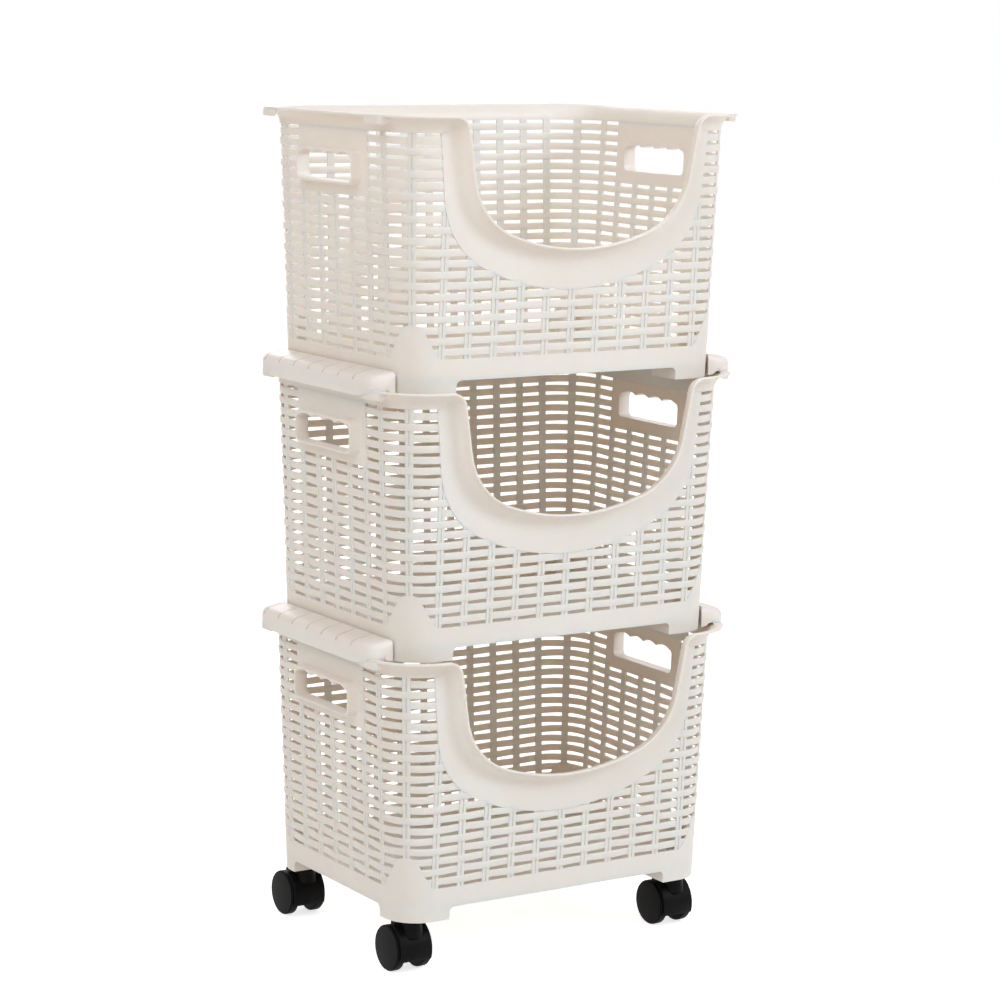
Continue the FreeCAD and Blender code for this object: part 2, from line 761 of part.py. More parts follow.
def cross_disc(radius, half_width, centre):
    """Disc or rod lying along X."""
    return Part.makeCylinder(radius, 2 * half_width, centre - at(half_width, 0, 0), at(1, 0, 0))


def caster_housing():
    """Fender over both wheels with a cheek between them and a neck round the stem."""
    centre = axle_centre()
    collar_under = -COLLAR_THICKNESS - RUNNING_GAP
    low = centre.z - FENDER_LOW
    far = FENDER_RADIUS + OVERRUN
    fender = cross_disc(FENDER_RADIUS, FENDER_HALF_WIDTH, centre)
    edges = [edge for edge in fender.Edges if edge.Closed]
    fender = fender.makeFillet(FENDER_THICKNESS / 2, edges)
    fender = fender.cut(cross_disc(FENDER_RADIUS - FENDER_THICKNESS, far, centre))
    behind = block(at(-far, centre.y, centre.z - far), at(far, centre.y + far, centre.z + far))
    behind.rotate(centre, at(1, 0, 0), 90 - FENDER_BACK_ANGLE)
    beneath = block(at(-far, centre.y - far, centre.z - far), at(far, centre.y + far, low))
    fender = fender.cut([behind, beneath])
    cheek = cross_disc(FENDER_RADIUS - FENDER_THICKNESS / 2, CHEEK_HALF_WIDTH, centre)
    past = block(at(-far, centre.y + CHEEK_BACK, centre.z - far), at(far, centre.y + far, centre.z + far))
    cheek = cheek.cut([past, beneath])
    neck = cylinder(NECK_RADIUS, centre.z, collar_under)
    body = fender.multiFuse([cheek, neck])
    bore = cylinder(STEM_RADIUS + SHAFT_CLEARANCE, -STEM_BOTTOM - STEM_END_GAP, 0)
    hole = cross_disc(AXLE_RADIUS + SHAFT_CLEARANCE, far, centre)
    return body.cut([bore, hole]).removeSplitter()


def caster_axle():
    return cross_disc(AXLE_RADIUS, WHEEL_BORE_END - AXLE_END_GAP, axle_centre())


def caster_wheel(side):
    """Wheel with a plain tread, a fine groove at its shoulder and a domed outer face."""
    groove_floor = WHEEL_RADIUS - WHEEL_GROOVE_DEPTH
    groove_end = WHEEL_SHOULDER + WHEEL_GROOVE_WIDTH
    bore = AXLE_RADIUS + SHAFT_CLEARANCE
    dome_edge = (groove_end, groove_floor + WHEEL_GROOVE_DEPTH / 2)
    rise = WHEEL_OUTER - groove_end
    dome_radius = (dome_edge[1] ** 2 + rise ** 2) / (2 * rise)
    half_turn = math.asin(dome_edge[1] / dome_radius) / 2
    dome_middle = (WHEEL_OUTER - dome_radius * (1 - math.cos(half_turn)), dome_radius * math.sin(half_turn))
    outline = [
        (WHEEL_INNER, bore),
        (WHEEL_INNER, WHEEL_RADIUS - WHEEL_EASE),
        (WHEEL_INNER + WHEEL_EASE, WHEEL_RADIUS),
        (WHEEL_SHOULDER, WHEEL_RADIUS),
        (WHEEL_SHOULDER, groove_floor),
        (groove_end, groove_floor),
        dome_edge,
    ]
    points = [at(side * x, radius, 0) for x, radius in outline]
    middle, tip = [at(side * x, radius, 0) for x, radius in (dome_middle, (WHEEL_OUTER, 0))]
    bore_end = [at(side * WHEEL_BORE_END, 0, 0), at(side * WHEEL_BORE_END, bore, 0)]
    edges = [line(a, b) for a, b in zip(points[:-1], points[1:])]
    edges.append(arc(points[-1], middle, tip))
    edges.append(line(tip, bore_end[0]))
    edges.append(line(bore_end[0], bore_end[1]))
    edges.append(line(bore_end[1], points[0]))
    return moved(filled(edges).revolve(at(0, 0, 0), at(1, 0, 0), 360), axle_centre())


def caster_stem():
    """Steel pin with a collar that sits against the basket foot."""
    pin = cylinder(STEM_RADIUS, -STEM_BOTTOM, STEM_TOP)
    return pin.fuse(cylinder(COLLAR_RADIUS, -COLLAR_THICKNESS, 0)).removeSplitter()


def caster_sleeve():
    """Gripping sleeve between the stem and its socket."""
    outer = cylinder(SOCKET_BORE_RADIUS - SHAFT_CLEARANCE, SLEEVE_LOW, SLEEVE_TOP)
    return outer.cut(cylinder(STEM_RADIUS + SHAFT_CLEARANCE, 0, SLEEVE_TOP + OVERRUN))


def casters():
    """Pieces of all four casters at their sockets."""
    pieces = {
        "housing": caster_housing(),
        "axle": caster_axle(),
        "left_wheel": caster_wheel(-1),
        "right_wheel": caster_wheel(1),
        "stem": caster_stem(),
        "stem_sleeve": caster_sleeve(),
    }
    placed_pieces = {}
    for row, side_y in (("front", -1), ("rear", 1)):
        for hand, side_x in (("left", -1), ("right", 1)):
            socket = at(side_x * SOCKET_X, side_y * SOCKET_Y, GROUND_TO_FEET)
            for name, shape in pieces.items():
                placed_pieces[f"{row}_{hand}_caster_{name}"] = moved(shape, socket)
    return placed_pieces


def cart():
    """All pieces by name."""
    nodes = {}
    moulding = basket()
    for tier, name in enumerate(("lower", "middle", "upper")):
        nodes[f"{name}_basket"] = moved(moulding, at(0, 0, GROUND_TO_FEET + tier * TIER_PITCH))
    right = connector()
    left = right.copy()
    left.rotate(at(0, 0, 0), at(0, 0, 1), 180)
    for tier, name in enumerate(("lower", "middle")):
        for hand, shape in (("left", left), ("right", right)):
            nodes[f"{name}_{hand}_connector"] = moved(shape, at(0, 0, GROUND_TO_FEET + tier * TIER_PITCH))
    nodes.update(casters())
    return nodes


def main():
    os.makedirs("parts", exist_ok=True)
    for name, shape in cart().items():
        shape.exportStep(os.path.join("parts", name + ".step"))
        state = "valid" if shape.isValid() else "INVALID"
        print(name, state, "solids", len(shape.Solids), "volume", round(shape.Volume))


main()
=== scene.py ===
"""Rolling storage cart: moulded lattice baskets, clip-on side pieces and twin-wheel casters.

Shapes are worked out in millimetres as grids of points. X runs to the right as seen from the front, the
front faces -Y, Z is up, and heights of basket pieces count from the basket's feet.
"""
import math

import bmesh
import bpy
import numpy as np
from mathutils import Matrix, Vector


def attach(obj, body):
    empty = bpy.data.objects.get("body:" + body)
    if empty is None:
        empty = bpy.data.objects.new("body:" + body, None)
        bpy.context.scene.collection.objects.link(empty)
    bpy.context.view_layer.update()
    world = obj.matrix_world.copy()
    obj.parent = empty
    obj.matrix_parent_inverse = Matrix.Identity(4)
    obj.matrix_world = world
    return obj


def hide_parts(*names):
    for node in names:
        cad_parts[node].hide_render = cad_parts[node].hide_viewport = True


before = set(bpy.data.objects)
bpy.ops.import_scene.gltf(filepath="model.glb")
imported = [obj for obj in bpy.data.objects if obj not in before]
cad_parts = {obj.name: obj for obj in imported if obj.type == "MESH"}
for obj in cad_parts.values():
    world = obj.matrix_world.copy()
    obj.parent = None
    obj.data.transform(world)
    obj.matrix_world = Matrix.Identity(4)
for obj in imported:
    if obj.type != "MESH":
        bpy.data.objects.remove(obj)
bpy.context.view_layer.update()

# Stack
FEET_LEVELS = {"lower": 48.5, "middle": 276.5, "upper": 504.5}
BASKET_BODIES = {"lower": "base", "middle": "middle_tier", "upper": "upper_tier"}
CASTER_X, CASTER_Y = 138.2, 95.4

# Basket wall
CORNER_X, CORNER_Y = 128.6, 84.0
CORNER_RADIUS, MEAN_CORNER_RADIUS = 31.0, 36.0
CORNER_RUN = MEAN_CORNER_RADIUS * math.pi / 2
LEAN = 0.041
LEAN_ANGLE = math.atan(LEAN)
WALL = 2.2
RIM_HEIGHT, RIM_BEND, RIM_FLAT, RIM_ROUND = 231.5, 12.0, 1.8, 0.9

# Weave
SLOT_PITCH, FIRST_SLOT, SLOT_HEIGHT = 9.25, 30.4, 2.9
BAND_ROWS = 20
FRONT_PITCH, SIDE_PITCH = 25.6, 27.6
STAKE_HALF, STEPS_PER_STAKE = 3.5, 8
WEAVE_SWING, WEAVE_SINK, CREST_CUT = 0.62, 0.35, 1.5
BAND_THICKNESS, BAND_EASE = 1.9, 0.32
PLAIN_SINK, PLAIN_THINNING, PLAIN_FADE = 0.4, 0.5, 2.5
STRIP_TOP = FIRST_SLOT - SLOT_HEIGHT / 2
STRIP_BOTTOM = FIRST_SLOT + BAND_ROWS * SLOT_PITCH + SLOT_HEIGHT / 2

# Perimeter of a basket, counted from the middle of its front
SIDE_MIDDLE = CORNER_X + CORNER_RUN + CORNER_Y
BACK_MIDDLE = 2 * SIDE_MIDDLE
FRONT_CORNER = CORNER_X + CORNER_RUN / 2
BACK_CORNER = BACK_MIDDLE - FRONT_CORNER
STAKES = np.array([FRONT_PITCH * i for i in range(6)] + [FRONT_CORNER]
                  + [SIDE_MIDDLE + SIDE_PITCH * i for i in range(-3, 4)] + [BACK_CORNER]
                  + [BACK_MIDDLE - FRONT_PITCH * i for i in range(5, -1, -1)])
LAST_STAKE = len(STAKES) - 1
AROUND = 2 * LAST_STAKE

# Distances in metres at which points of a mesh count as one, and at which an edge counts as nothing
JOINED, SPECK = 2e-6, 1e-7


def wall(run, height, out=0.0):
    """Points on the leaning wall. The run counts along the perimeter from the middle of the front, positive
    to the right: a corner centre slides along the straight walls, and an angle turns a quarter at each
    rounded corner. The radius round that centre is the corner radius plus the lean times the height, plus
    the distance out."""
    run, height, out = np.broadcast_arrays(*[np.asarray(a, float) for a in (run, height, out)])
    side, along = np.where(run < 0, -1.0, 1.0), np.abs(run)
    back = BACK_MIDDLE - CORNER_X
    x = np.clip(along, 0, CORNER_X) - np.clip(along - back, 0, None)
    y = np.clip(along - CORNER_X - CORNER_RUN, 0, 2 * CORNER_Y) - CORNER_Y
    turn = (np.clip((along - CORNER_X) / CORNER_RUN, 0, 1)
            + np.clip((along - back + CORNER_RUN) / CORNER_RUN, 0, 1) - 1) * math.pi / 2
    radius = CORNER_RADIUS + LEAN * height + out
    return np.stack([side * (x + radius * np.cos(turn)), y + radius * np.sin(turn), height], axis=-1)


def smooth(value):
    """Rise from 0 to 1 with level ends: three squares less two cubes."""
    value = np.clip(value, 0, 1)
    return value * value * (3 - 2 * value)


def around(centre, radius, degrees):
    """Points of a circle, the angle counted from across towards up."""
    turn = np.radians(degrees)
    return np.stack([centre[0] + radius * np.cos(turn), centre[1] + radius * np.sin(turn)], axis=-1)


def rounded(low_a, high_a, low_b, high_b, radius, steps=2):
    """Closed outline of a rectangle with quarter circles at its corners, as (a, b) pairs."""
    turns = np.linspace(0, 90, steps + 1)
    centres = ((high_a - radius, high_b - radius), (low_a + radius, high_b - radius),
               (low_a + radius, low_b + radius), (high_a - radius, low_b + radius))
    return np.concatenate([around(centre, radius, turns + 90 * i) for i, centre in enumerate(centres)])


def capped(grid):
    """The grid with a pole at each end, at the middle of its first and last row."""
    ends = [np.broadcast_to(row.mean(axis=0), row.shape)[None] for row in (grid[0], grid[-1])]
    return np.concatenate([ends[0], grid, ends[1]])


def mirrored(sheets, axis=0):
    """The sheets with their mirror images across X (axis 0) or Y (axis 1)."""
    flip = np.ones(3)
    flip[axis] = -1
    return sheets + [(grid * flip, rows, columns) for grid, rows, columns in sheets]


def mesh_of(name, sheets, crease=38):
    """One mesh from several grids of points. Neighbours in a grid are joined by quads, and a grid closes on
    itself along its rows or columns where these wrap. Points that meet are merged, and faces are turned
    outwards."""
    points, quads, start = [], [], 0
    for grid, wrap_rows, wrap_columns in sheets:
        rows, columns = grid.shape[:2]
        index = start + np.arange(rows * columns).reshape(rows, columns)
        start += rows * columns
        if wrap_rows:
            index = np.vstack([index, index[:1]])
        if wrap_columns:
            index = np.hstack([index, index[:, :1]])
        corners = [index[:-1, :-1], index[1:, :-1], index[1:, 1:], index[:-1, 1:]]
        quads.append(np.stack(corners, -1).reshape(-1, 4))
        points.append(grid.reshape(-1, 3))
    points, quads = np.concatenate(points) / 1000, np.concatenate(quads)
    mesh = bpy.data.meshes.new(name)
    mesh.vertices.add(len(points))
    mesh.vertices.foreach_set("co", points.ravel())
    mesh.loops.add(quads.size)
    mesh.loops.foreach_set("vertex_index", quads.ravel().astype(np.int32))
    mesh.polygons.add(len(quads))
    mesh.polygons.foreach_set("loop_start", np.arange(0, quads.size, 4, dtype=np.int32))
    mesh.update(calc_edges=True)
    work = bmesh.new()
    work.from_mesh(mesh)
    bmesh.ops.remove_doubles(work, verts=work.verts, dist=JOINED)
    bmesh.ops.dissolve_degenerate(work, edges=work.edges, dist=SPECK)
    bmesh.ops.recalc_face_normals(work, faces=work.faces)
    work.to_mesh(mesh)
    work.free()
    mesh.polygons.foreach_set("use_smooth", np.ones(len(mesh.polygons), bool))
    mesh.set_sharp_from_angle(angle=math.radians(crease))
    return mesh


def place(name, mesh, material, body, node, shift):
    """Object for a mesh, its points moved by a shift in mm, that rides on a body and stands for a node."""
    mesh = mesh.copy()
    mesh.transform(Matrix.Translation(Vector(shift) / 1000))
    mesh.materials.clear()
    mesh.materials.append(material)
    piece = bpy.data.objects.new(name, mesh)
    bpy.context.scene.collection.objects.link(piece)
    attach(piece, body)
    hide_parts(node)


# Scoop: the curve where the flat wall turns outward, as a floor arc, a corner arc and a straight side

SCOOP_BOTTOM, SCOOP_FLOOR_RADIUS, SCOOP_FLOOR_ANGLE, SCOOP_SIDE_ANGLE = 120.5, 200.0, 20.0, 80.5
BEND_TURN = math.pi / 2 - LEAN_ANGLE
BEND_START = RIM_HEIGHT - WALL - RIM_BEND + RIM_BEND * math.sin(LEAN_ANGLE)
WALL_LENGTH = LEAN * BEND_START * math.sin(LEAN_ANGLE) + BEND_START * math.cos(LEAN_ANGLE)
BAND_BOTTOM, BAND_FLOOR_RADIUS, BAND_FLOOR_ANGLE = 84.0, 205.0, 26.0
BAND_CORNER_RADIUS, BAND_SIDE_ANGLE = 72.0, 85.0
FLOOR_STEPS, CORNER_STEPS, SIDE_STEPS, TIP_STEPS, LEG_STEPS = 17, 21, 7, 13, 5


def flange_outline():
    """Section of rim and lip as (beyond the wall, outward) pairs: the outside of the bend, a rounded edge
    and the inside of the bend."""
    def swing(radius, turns):
        return np.stack([radius * np.sin(turns), RIM_BEND - radius * np.cos(turns)], axis=-1)

    turns = np.linspace(0, BEND_TURN, 9)
    outer, inner = swing(RIM_BEND, turns), swing(RIM_BEND + WALL, turns)
    level = np.array([math.cos(BEND_TURN), math.sin(BEND_TURN)])
    upward = np.array([math.sin(BEND_TURN), -math.cos(BEND_TURN)])
    low = around((RIM_FLAT - RIM_ROUND, RIM_ROUND), RIM_ROUND, np.linspace(-90, 0, 4))
    edge = np.concatenate([low, low[::-1] * [1, -1] + [0, WALL]])
    rim = outer[-1] + edge[:, :1] * level + edge[:, 1:] * upward
    return np.concatenate([outer, rim, inner[::-1]])


def scoop_route():
    """Places, in the plane of the front wall, where the lip starts to bend, and the turns of the route."""
    flare = flange_outline()[:, 0].max()
    radius = SCOOP_FLOOR_RADIUS + flare
    centre = (0, SCOOP_BOTTOM / math.cos(LEAN_ANGLE) - flare + radius)
    floor_turns = np.linspace(0, SCOOP_FLOOR_ANGLE, FLOOR_STEPS)
    floor = around(centre, radius, floor_turns - 90)
    floor_turn, side_turn = math.radians(SCOOP_FLOOR_ANGLE), math.radians(SCOOP_SIDE_ANGLE)
    across, up = CORNER_X - floor[-1, 0], WALL_LENGTH - floor[-1, 1]
    tangent = (across * math.sin(side_turn) - up * math.cos(side_turn)) / math.sin(side_turn - floor_turn)
    corner_radius = tangent / math.tan((side_turn - floor_turn) / 2)
    corner_centre = around(floor[-1], corner_radius, SCOOP_FLOOR_ANGLE + 90)
    corner_turns = np.linspace(SCOOP_FLOOR_ANGLE, SCOOP_SIDE_ANGLE, CORNER_STEPS)[1:]
    corner = around(corner_centre, corner_radius, corner_turns - 90)
    shares = np.linspace(0, 1, SIDE_STEPS)[1:, None]
    side = corner[-1] + (np.array([CORNER_X, WALL_LENGTH]) - corner[-1]) * shares
    turns = np.concatenate([floor_turns, corner_turns, np.full(len(shares), SCOOP_SIDE_ANGLE)])
    return np.concatenate([floor, corner, side]), turns


def band_route():
    """Outer edge of the plain band round the scoop, in step with the scoop's own curve."""
    centre = (0, BAND_BOTTOM + BAND_FLOOR_RADIUS)
    floor = around(centre, BAND_FLOOR_RADIUS, np.linspace(0, BAND_FLOOR_ANGLE, FLOOR_STEPS) - 90)
    corner_centre = around(floor[-1], BAND_CORNER_RADIUS, BAND_FLOOR_ANGLE + 90)
    corner_turns = np.linspace(BAND_FLOOR_ANGLE, BAND_SIDE_ANGLE, CORNER_STEPS)[1:]
    corner = around(corner_centre, BAND_CORNER_RADIUS, corner_turns - 90)
    rise = STRIP_BOTTOM - corner[-1, 1]
    shares = np.linspace(0, 1, SIDE_STEPS)[1:, None]
    side = corner[-1] + np.array([rise / math.tan(math.radians(BAND_SIDE_ANGLE)), rise]) * shares
    return np.concatenate([floor, corner, side])


SCOOP_POINTS, SCOOP_TURNS = scoop_route()
BAND_EDGE = band_route()
BAND_EDGE_TOP = BAND_EDGE[-1, 0]


def band_half(height):
    """Half the width of the plain band at a height."""
    return np.where(height < BAND_BOTTOM, 0, np.interp(height, BAND_EDGE[:, 1], BAND_EDGE[:, 0]))


def opening_half(height):
    """Half the width between the lip's bends at a height."""
    return np.interp(height, SCOOP_POINTS[:, 1], SCOOP_POINTS[:, 0], left=0)


def front_points(across, up, out):
    """Points in the leaning front wall: the height is the length up the wall times the cosine of its lean,
    less the distance out times the sine."""
    height = up * math.cos(LEAN_ANGLE) - out * math.sin(LEAN_ANGLE)
    reach = up * math.sin(LEAN_ANGLE) + out * math.cos(LEAN_ANGLE)
    return wall(across, height, reach - LEAN * height)


def flange_sheet():
    """Rim and lip as one closed band. Its section is carried from the middle of the scoop along the lip,
    round the tip, and along the rim to the middle of the back. It ends in a leg that lies in the wall: down
    to the top windows under the rim, and out to the edge of the plain band round the scoop."""
    beyond_wall, outward = flange_outline().T
    legs = np.linspace(1, 0, LEG_STEPS)[:-1]
    sections = []

    tip = SCOOP_POINTS[-1]
    route = list(zip(SCOOP_POINTS, SCOOP_TURNS, BAND_EDGE))
    route += [(tip, turn, tip) for turn in np.linspace(SCOOP_SIDE_ANGLE, 0, TIP_STEPS)[1:-1]]
    for point, turn, low in route:
        turn = math.radians(turn)
        lip = front_points(point[0] - beyond_wall * math.sin(turn), point[1] + beyond_wall * math.cos(turn),
                           outward)
        leg = (point + (low - point) * legs[:, None]).T
        sections.append(np.concatenate([front_points(*leg, 0.0), lip, front_points(*leg, -WALL)[::-1]]))

    corner, back = CORNER_X + CORNER_RUN, BACK_MIDDLE - CORNER_X
    stretches = ((CORNER_X, corner, 17), (corner, back - CORNER_RUN, 9), (back - CORNER_RUN, back, 17),
                 (back, BACK_MIDDLE, 7))
    runs = [CORNER_X] + [run for stretch in stretches for run in np.linspace(*stretch)[1:]]
    cosine, sine = math.cos(LEAN_ANGLE), math.sin(LEAN_ANGLE)
    height = BEND_START + beyond_wall * cosine - outward * sine
    out = LEAN * BEND_START + beyond_wall * sine + outward * cosine - LEAN * height
    for run in runs:
        share = np.clip((run - CORNER_X) / (BAND_EDGE_TOP - CORNER_X), 0, 1)
        leg = BEND_START - (BEND_START - STRIP_BOTTOM) * share * legs
        rim = wall(run, height, out)
        sections.append(np.concatenate([wall(run, leg), rim, wall(run, leg, -WALL)[::-1]]))
    right = np.stack(sections)
    left = right[::-1] * np.array([-1, 1, 1])
    return [(np.concatenate([right, left[1:-1]]), True, True)]


# Feet, bells and bottom strip

FOOT_HEIGHT, NOTCH_ROUND, NOTCH_DRAFT, NOTCH_MARGIN = 10.8, 4.5, 0.15, 3.0
FRONT_NOTCH, SIDE_NOTCH = 112.5, 77.0
BELL_TOP, BELL_HALF, BELL_CROWN = 57.5, 29.5, 4.5
FLOOR_THICKNESS, FLOOR_JOIN = 2.2, 1.0
WEB_TURN, WEB_FRONT, WEB_SIDE, WEB_LOW, WEB_LAP, WEB_EASE = 4.0, 113.4, 158.0, 0.05, 0.6, 0.3
SOCKET_BORE, SOCKET_RADIUS, SOCKET_DEPTH, SOCKET_HEIGHT = 5.3, 8.0, 42.0, 48.0


def bell_height(run):
    """Top of the plain strip: level, and over each foot a bell whose height falls smoothly from a crown."""
    along = np.abs(run)
    away = np.minimum(np.abs(along - FRONT_CORNER), np.abs(along - BACK_CORNER))
    return STRIP_TOP + (BELL_TOP - STRIP_TOP) * (1 - smooth((away - BELL_CROWN) / (BELL_HALF - BELL_CROWN)))


def notch_profile(middle, half):
    """Runs and bottom heights across one notch between two feet, with rounded upper corners."""
    runs, heights = around((half - NOTCH_ROUND, FOOT_HEIGHT - NOTCH_ROUND), NOTCH_ROUND,
                           np.linspace(90, 0, 5)).T
    runs, heights = np.append(runs, half + NOTCH_DRAFT), np.append(heights, 0)
    return np.concatenate([middle - runs[::-1], middle + runs]), np.concatenate([heights[::-1], heights])


def strip_sheet():
    """Plain strip round the bottom of a basket, from the notched lower edge up to the bells, closed round
    its edges. Its places along the perimeter lie close over the bells and in the notches' roundings, and far
    apart between."""
    near, far, reach, least = 2, 20, 32, 0.4
    notches = ((0, FRONT_NOTCH), (SIDE_MIDDLE, SIDE_NOTCH), (BACK_MIDDLE, FRONT_NOTCH))
    runs, lows = np.concatenate([notch_profile(middle, half) for middle, half in notches], axis=1)
    keep = (runs >= 0) & (runs <= BACK_MIDDLE)
    runs, lows = runs[keep], lows[keep]
    over_bells = np.arange(-reach, reach + 1, near)
    between = far * np.arange(5)
    extra = np.concatenate([between, BACK_MIDDLE - between, SIDE_MIDDLE + far * np.arange(-3, 4),
                            FRONT_CORNER + over_bells, BACK_CORNER + over_bells])
    extra = extra[np.min(np.abs(extra[:, None] - runs[None, :]), axis=1) > least]
    lows = np.concatenate([lows, np.interp(extra, runs, lows)])
    runs = np.concatenate([runs, extra])
    order = np.argsort(runs, kind="stable")
    runs, lows = runs[order][:, None], lows[order][:, None]
    top = bell_height(runs)
    base = FOOT_HEIGHT + NOTCH_MARGIN
    heights = np.concatenate([lows, base + (top - base) * np.linspace(0, 1, 5)[None, :]], axis=1)
    outer, inner = wall(runs, heights), wall(runs, heights, -WALL)
    right = np.concatenate([outer, inner[:, ::-1]], axis=1)
    left = right[::-1] * np.array([-1, 1, 1])
    return [(np.concatenate([right, left[1:-1]]), True, True)]


def foot_web_sheets():
    """Inner walls that close each foot: a straight upright sheet from the front wall, a rounded turn and a
    straight sheet to the side wall."""
    radial = around((0, 0), 1, np.linspace(180, 270, 7))
    turn = np.array([FRONT_NOTCH, SIDE_NOTCH]) + WEB_TURN + WEB_TURN * radial
    path = np.concatenate([[[FRONT_NOTCH, WEB_FRONT]], turn, [[WEB_SIDE, SIDE_NOTCH]]])
    inward = np.concatenate([[[1, 0]], -radial, [[0, 1]]])
    outline = rounded(0, WALL, WEB_LOW, FOOT_HEIGHT + WEB_LAP, WEB_EASE, 1)
    plan = path[:, None, :] + inward[:, None, :] * outline[None, :, :1]
    heights = np.broadcast_to(outline[None, :, 1:], plan.shape[:2] + (1,))
    return mirrored(mirrored([(capped(np.concatenate([plan, heights], axis=-1)), False, True)]), 1)


def floor_sheet():
    """Floor of the basket: rings of the wall's own outline drawn in towards the middle, above and below."""
    runs = np.linspace(-BACK_MIDDLE, BACK_MIDDLE, 161)[:-1]
    edge = wall(runs, FOOT_HEIGHT + FLOOR_JOIN, -WALL / 2)
    rings = edge[None] * np.array([1, 1, 0]) * np.linspace(0, 1, 9)[:, None, None]
    lower = rings + np.array([0, 0, FOOT_HEIGHT])
    upper = rings + np.array([0, 0, FOOT_HEIGHT + FLOOR_THICKNESS])
    return [(np.concatenate([lower, upper[::-1]]), False, True)]


def turned(profile, centre, axis, steps):
    """Surface of revolution: each (distance along, radius) pair of the profile runs round the axis."""
    turns = np.linspace(0, 2 * math.pi, steps + 1)[:-1]
    along, radius = profile[:, None, 0], profile[:, None, 1]
    across, up = radius * np.cos(turns), radius * np.sin(turns)
    along = np.broadcast_to(along, across.shape)
    order = {"x": (along, across, up), "z": (across, up, along)}[axis]
    return np.stack(order, axis=-1) + np.array(centre)


def socket_sheets():
    """Blind sockets that hold the caster stems: a rounded post with a bore open downward."""
    mouth, ease = 0.1, 1.0
    bore = [(SOCKET_DEPTH, 0), (SOCKET_DEPTH, SOCKET_BORE), (mouth, SOCKET_BORE)]
    post = [(mouth, SOCKET_RADIUS), (SOCKET_HEIGHT - ease, SOCKET_RADIUS),
            (SOCKET_HEIGHT, SOCKET_RADIUS - ease), (SOCKET_HEIGHT, 0)]
    grid = turned(np.array(bore + post), (CASTER_X, CASTER_Y, 0), "z", 32)
    return mirrored(mirrored([(grid, False, True)]), 1)


# Weave. The plain panel round a grip spans two stakes to each side and starts above the fifteenth slot

PANEL_HALF, PANEL_LOW = 2 * SIDE_PITCH + STAKE_HALF, FIRST_SLOT + 14 * SLOT_PITCH + SLOT_HEIGHT / 2


def plain_share(run, height):
    """How far a place lies in one of the plain areas, from 0 in the open weave to 1: within the band round
    the scoop, a bell, or the panel round a grip."""
    along = np.abs(run)
    from_band = np.maximum(along - band_half(height), BAND_BOTTOM - height)
    from_bell = height - bell_height(run)
    from_panel = np.maximum(np.abs(along - SIDE_MIDDLE) - PANEL_HALF, PANEL_LOW - height)
    distance = np.minimum(np.minimum(from_band, from_bell), from_panel)
    return 1 - smooth(distance / PLAIN_FADE)


def stake_number(run):
    """Number of the stake at a place, counted from the middle of the front, with shares between stakes."""
    return np.interp(np.abs(run), STAKES, np.arange(len(STAKES)))


def weave_spans(middle, half):
    """First and last stake numbers of the stretches of one band, counted round from the front's middle."""
    into_panel = 3
    if middle + half < SCOOP_POINTS[0, 1] - 1:
        return [(0, AROUND)]
    first = float(stake_number((band_half(middle) + opening_half(middle + half)) / 2))
    if middle < PANEL_LOW:
        return [(first, AROUND - first)]
    before = stake_number(SIDE_MIDDLE - PANEL_HALF + into_panel)
    after = stake_number(SIDE_MIDDLE + PANEL_HALF - into_panel)
    return [(first, before), (after, AROUND - after), (AROUND - before, AROUND - first)]


def weave_sheets():
    """Horizontal bands. The distance out is a cosine wave over the stake number with its crests cut level,
    so that a band passes outside one stake and inside the next, and every row is a step behind the row
    below. In plain areas the band lies within the wall. A row that meets the scoop ends inside the plain
    band on both sides. The easing of a band's edges is twice as high as it is deep."""
    sheets = []
    half = (SLOT_PITCH - SLOT_HEIGHT) / 2
    outline = rounded(-half, half, -1, 0, BAND_EASE, 2)
    outline[:, 0] = np.sign(outline[:, 0]) * (half - (half - np.abs(outline[:, 0])) * 2)
    for row in range(BAND_ROWS):
        middle = FIRST_SLOT + SLOT_PITCH * (row + 0.5)
        for first, last in weave_spans(middle, half):
            closed = last - first == AROUND
            numbers = np.linspace(first, last, int((last - first) * STEPS_PER_STAKE) + 1)
            if closed:
                numbers = numbers[:-1]
            runs = np.interp(np.minimum(numbers, AROUND - numbers), np.arange(len(STAKES)), STAKES)
            runs = np.where(numbers <= LAST_STAKE, runs, -runs)
            hidden = plain_share(runs, middle)
            swing = WEAVE_SWING * np.clip(CREST_CUT * np.cos(math.pi * (numbers + row)), -1, 1)
            out = (1 - hidden) * (swing - WEAVE_SINK) - hidden * PLAIN_SINK
            thick = BAND_THICKNESS - hidden * PLAIN_THINNING
            outs = out[:, None] + outline[None, :, 1] * thick[:, None]
            grid = wall(runs[:, None], middle + outline[None, :, 0], outs)
            sheets.append((grid, True, True) if closed else (capped(grid), False, True))
    return sheets


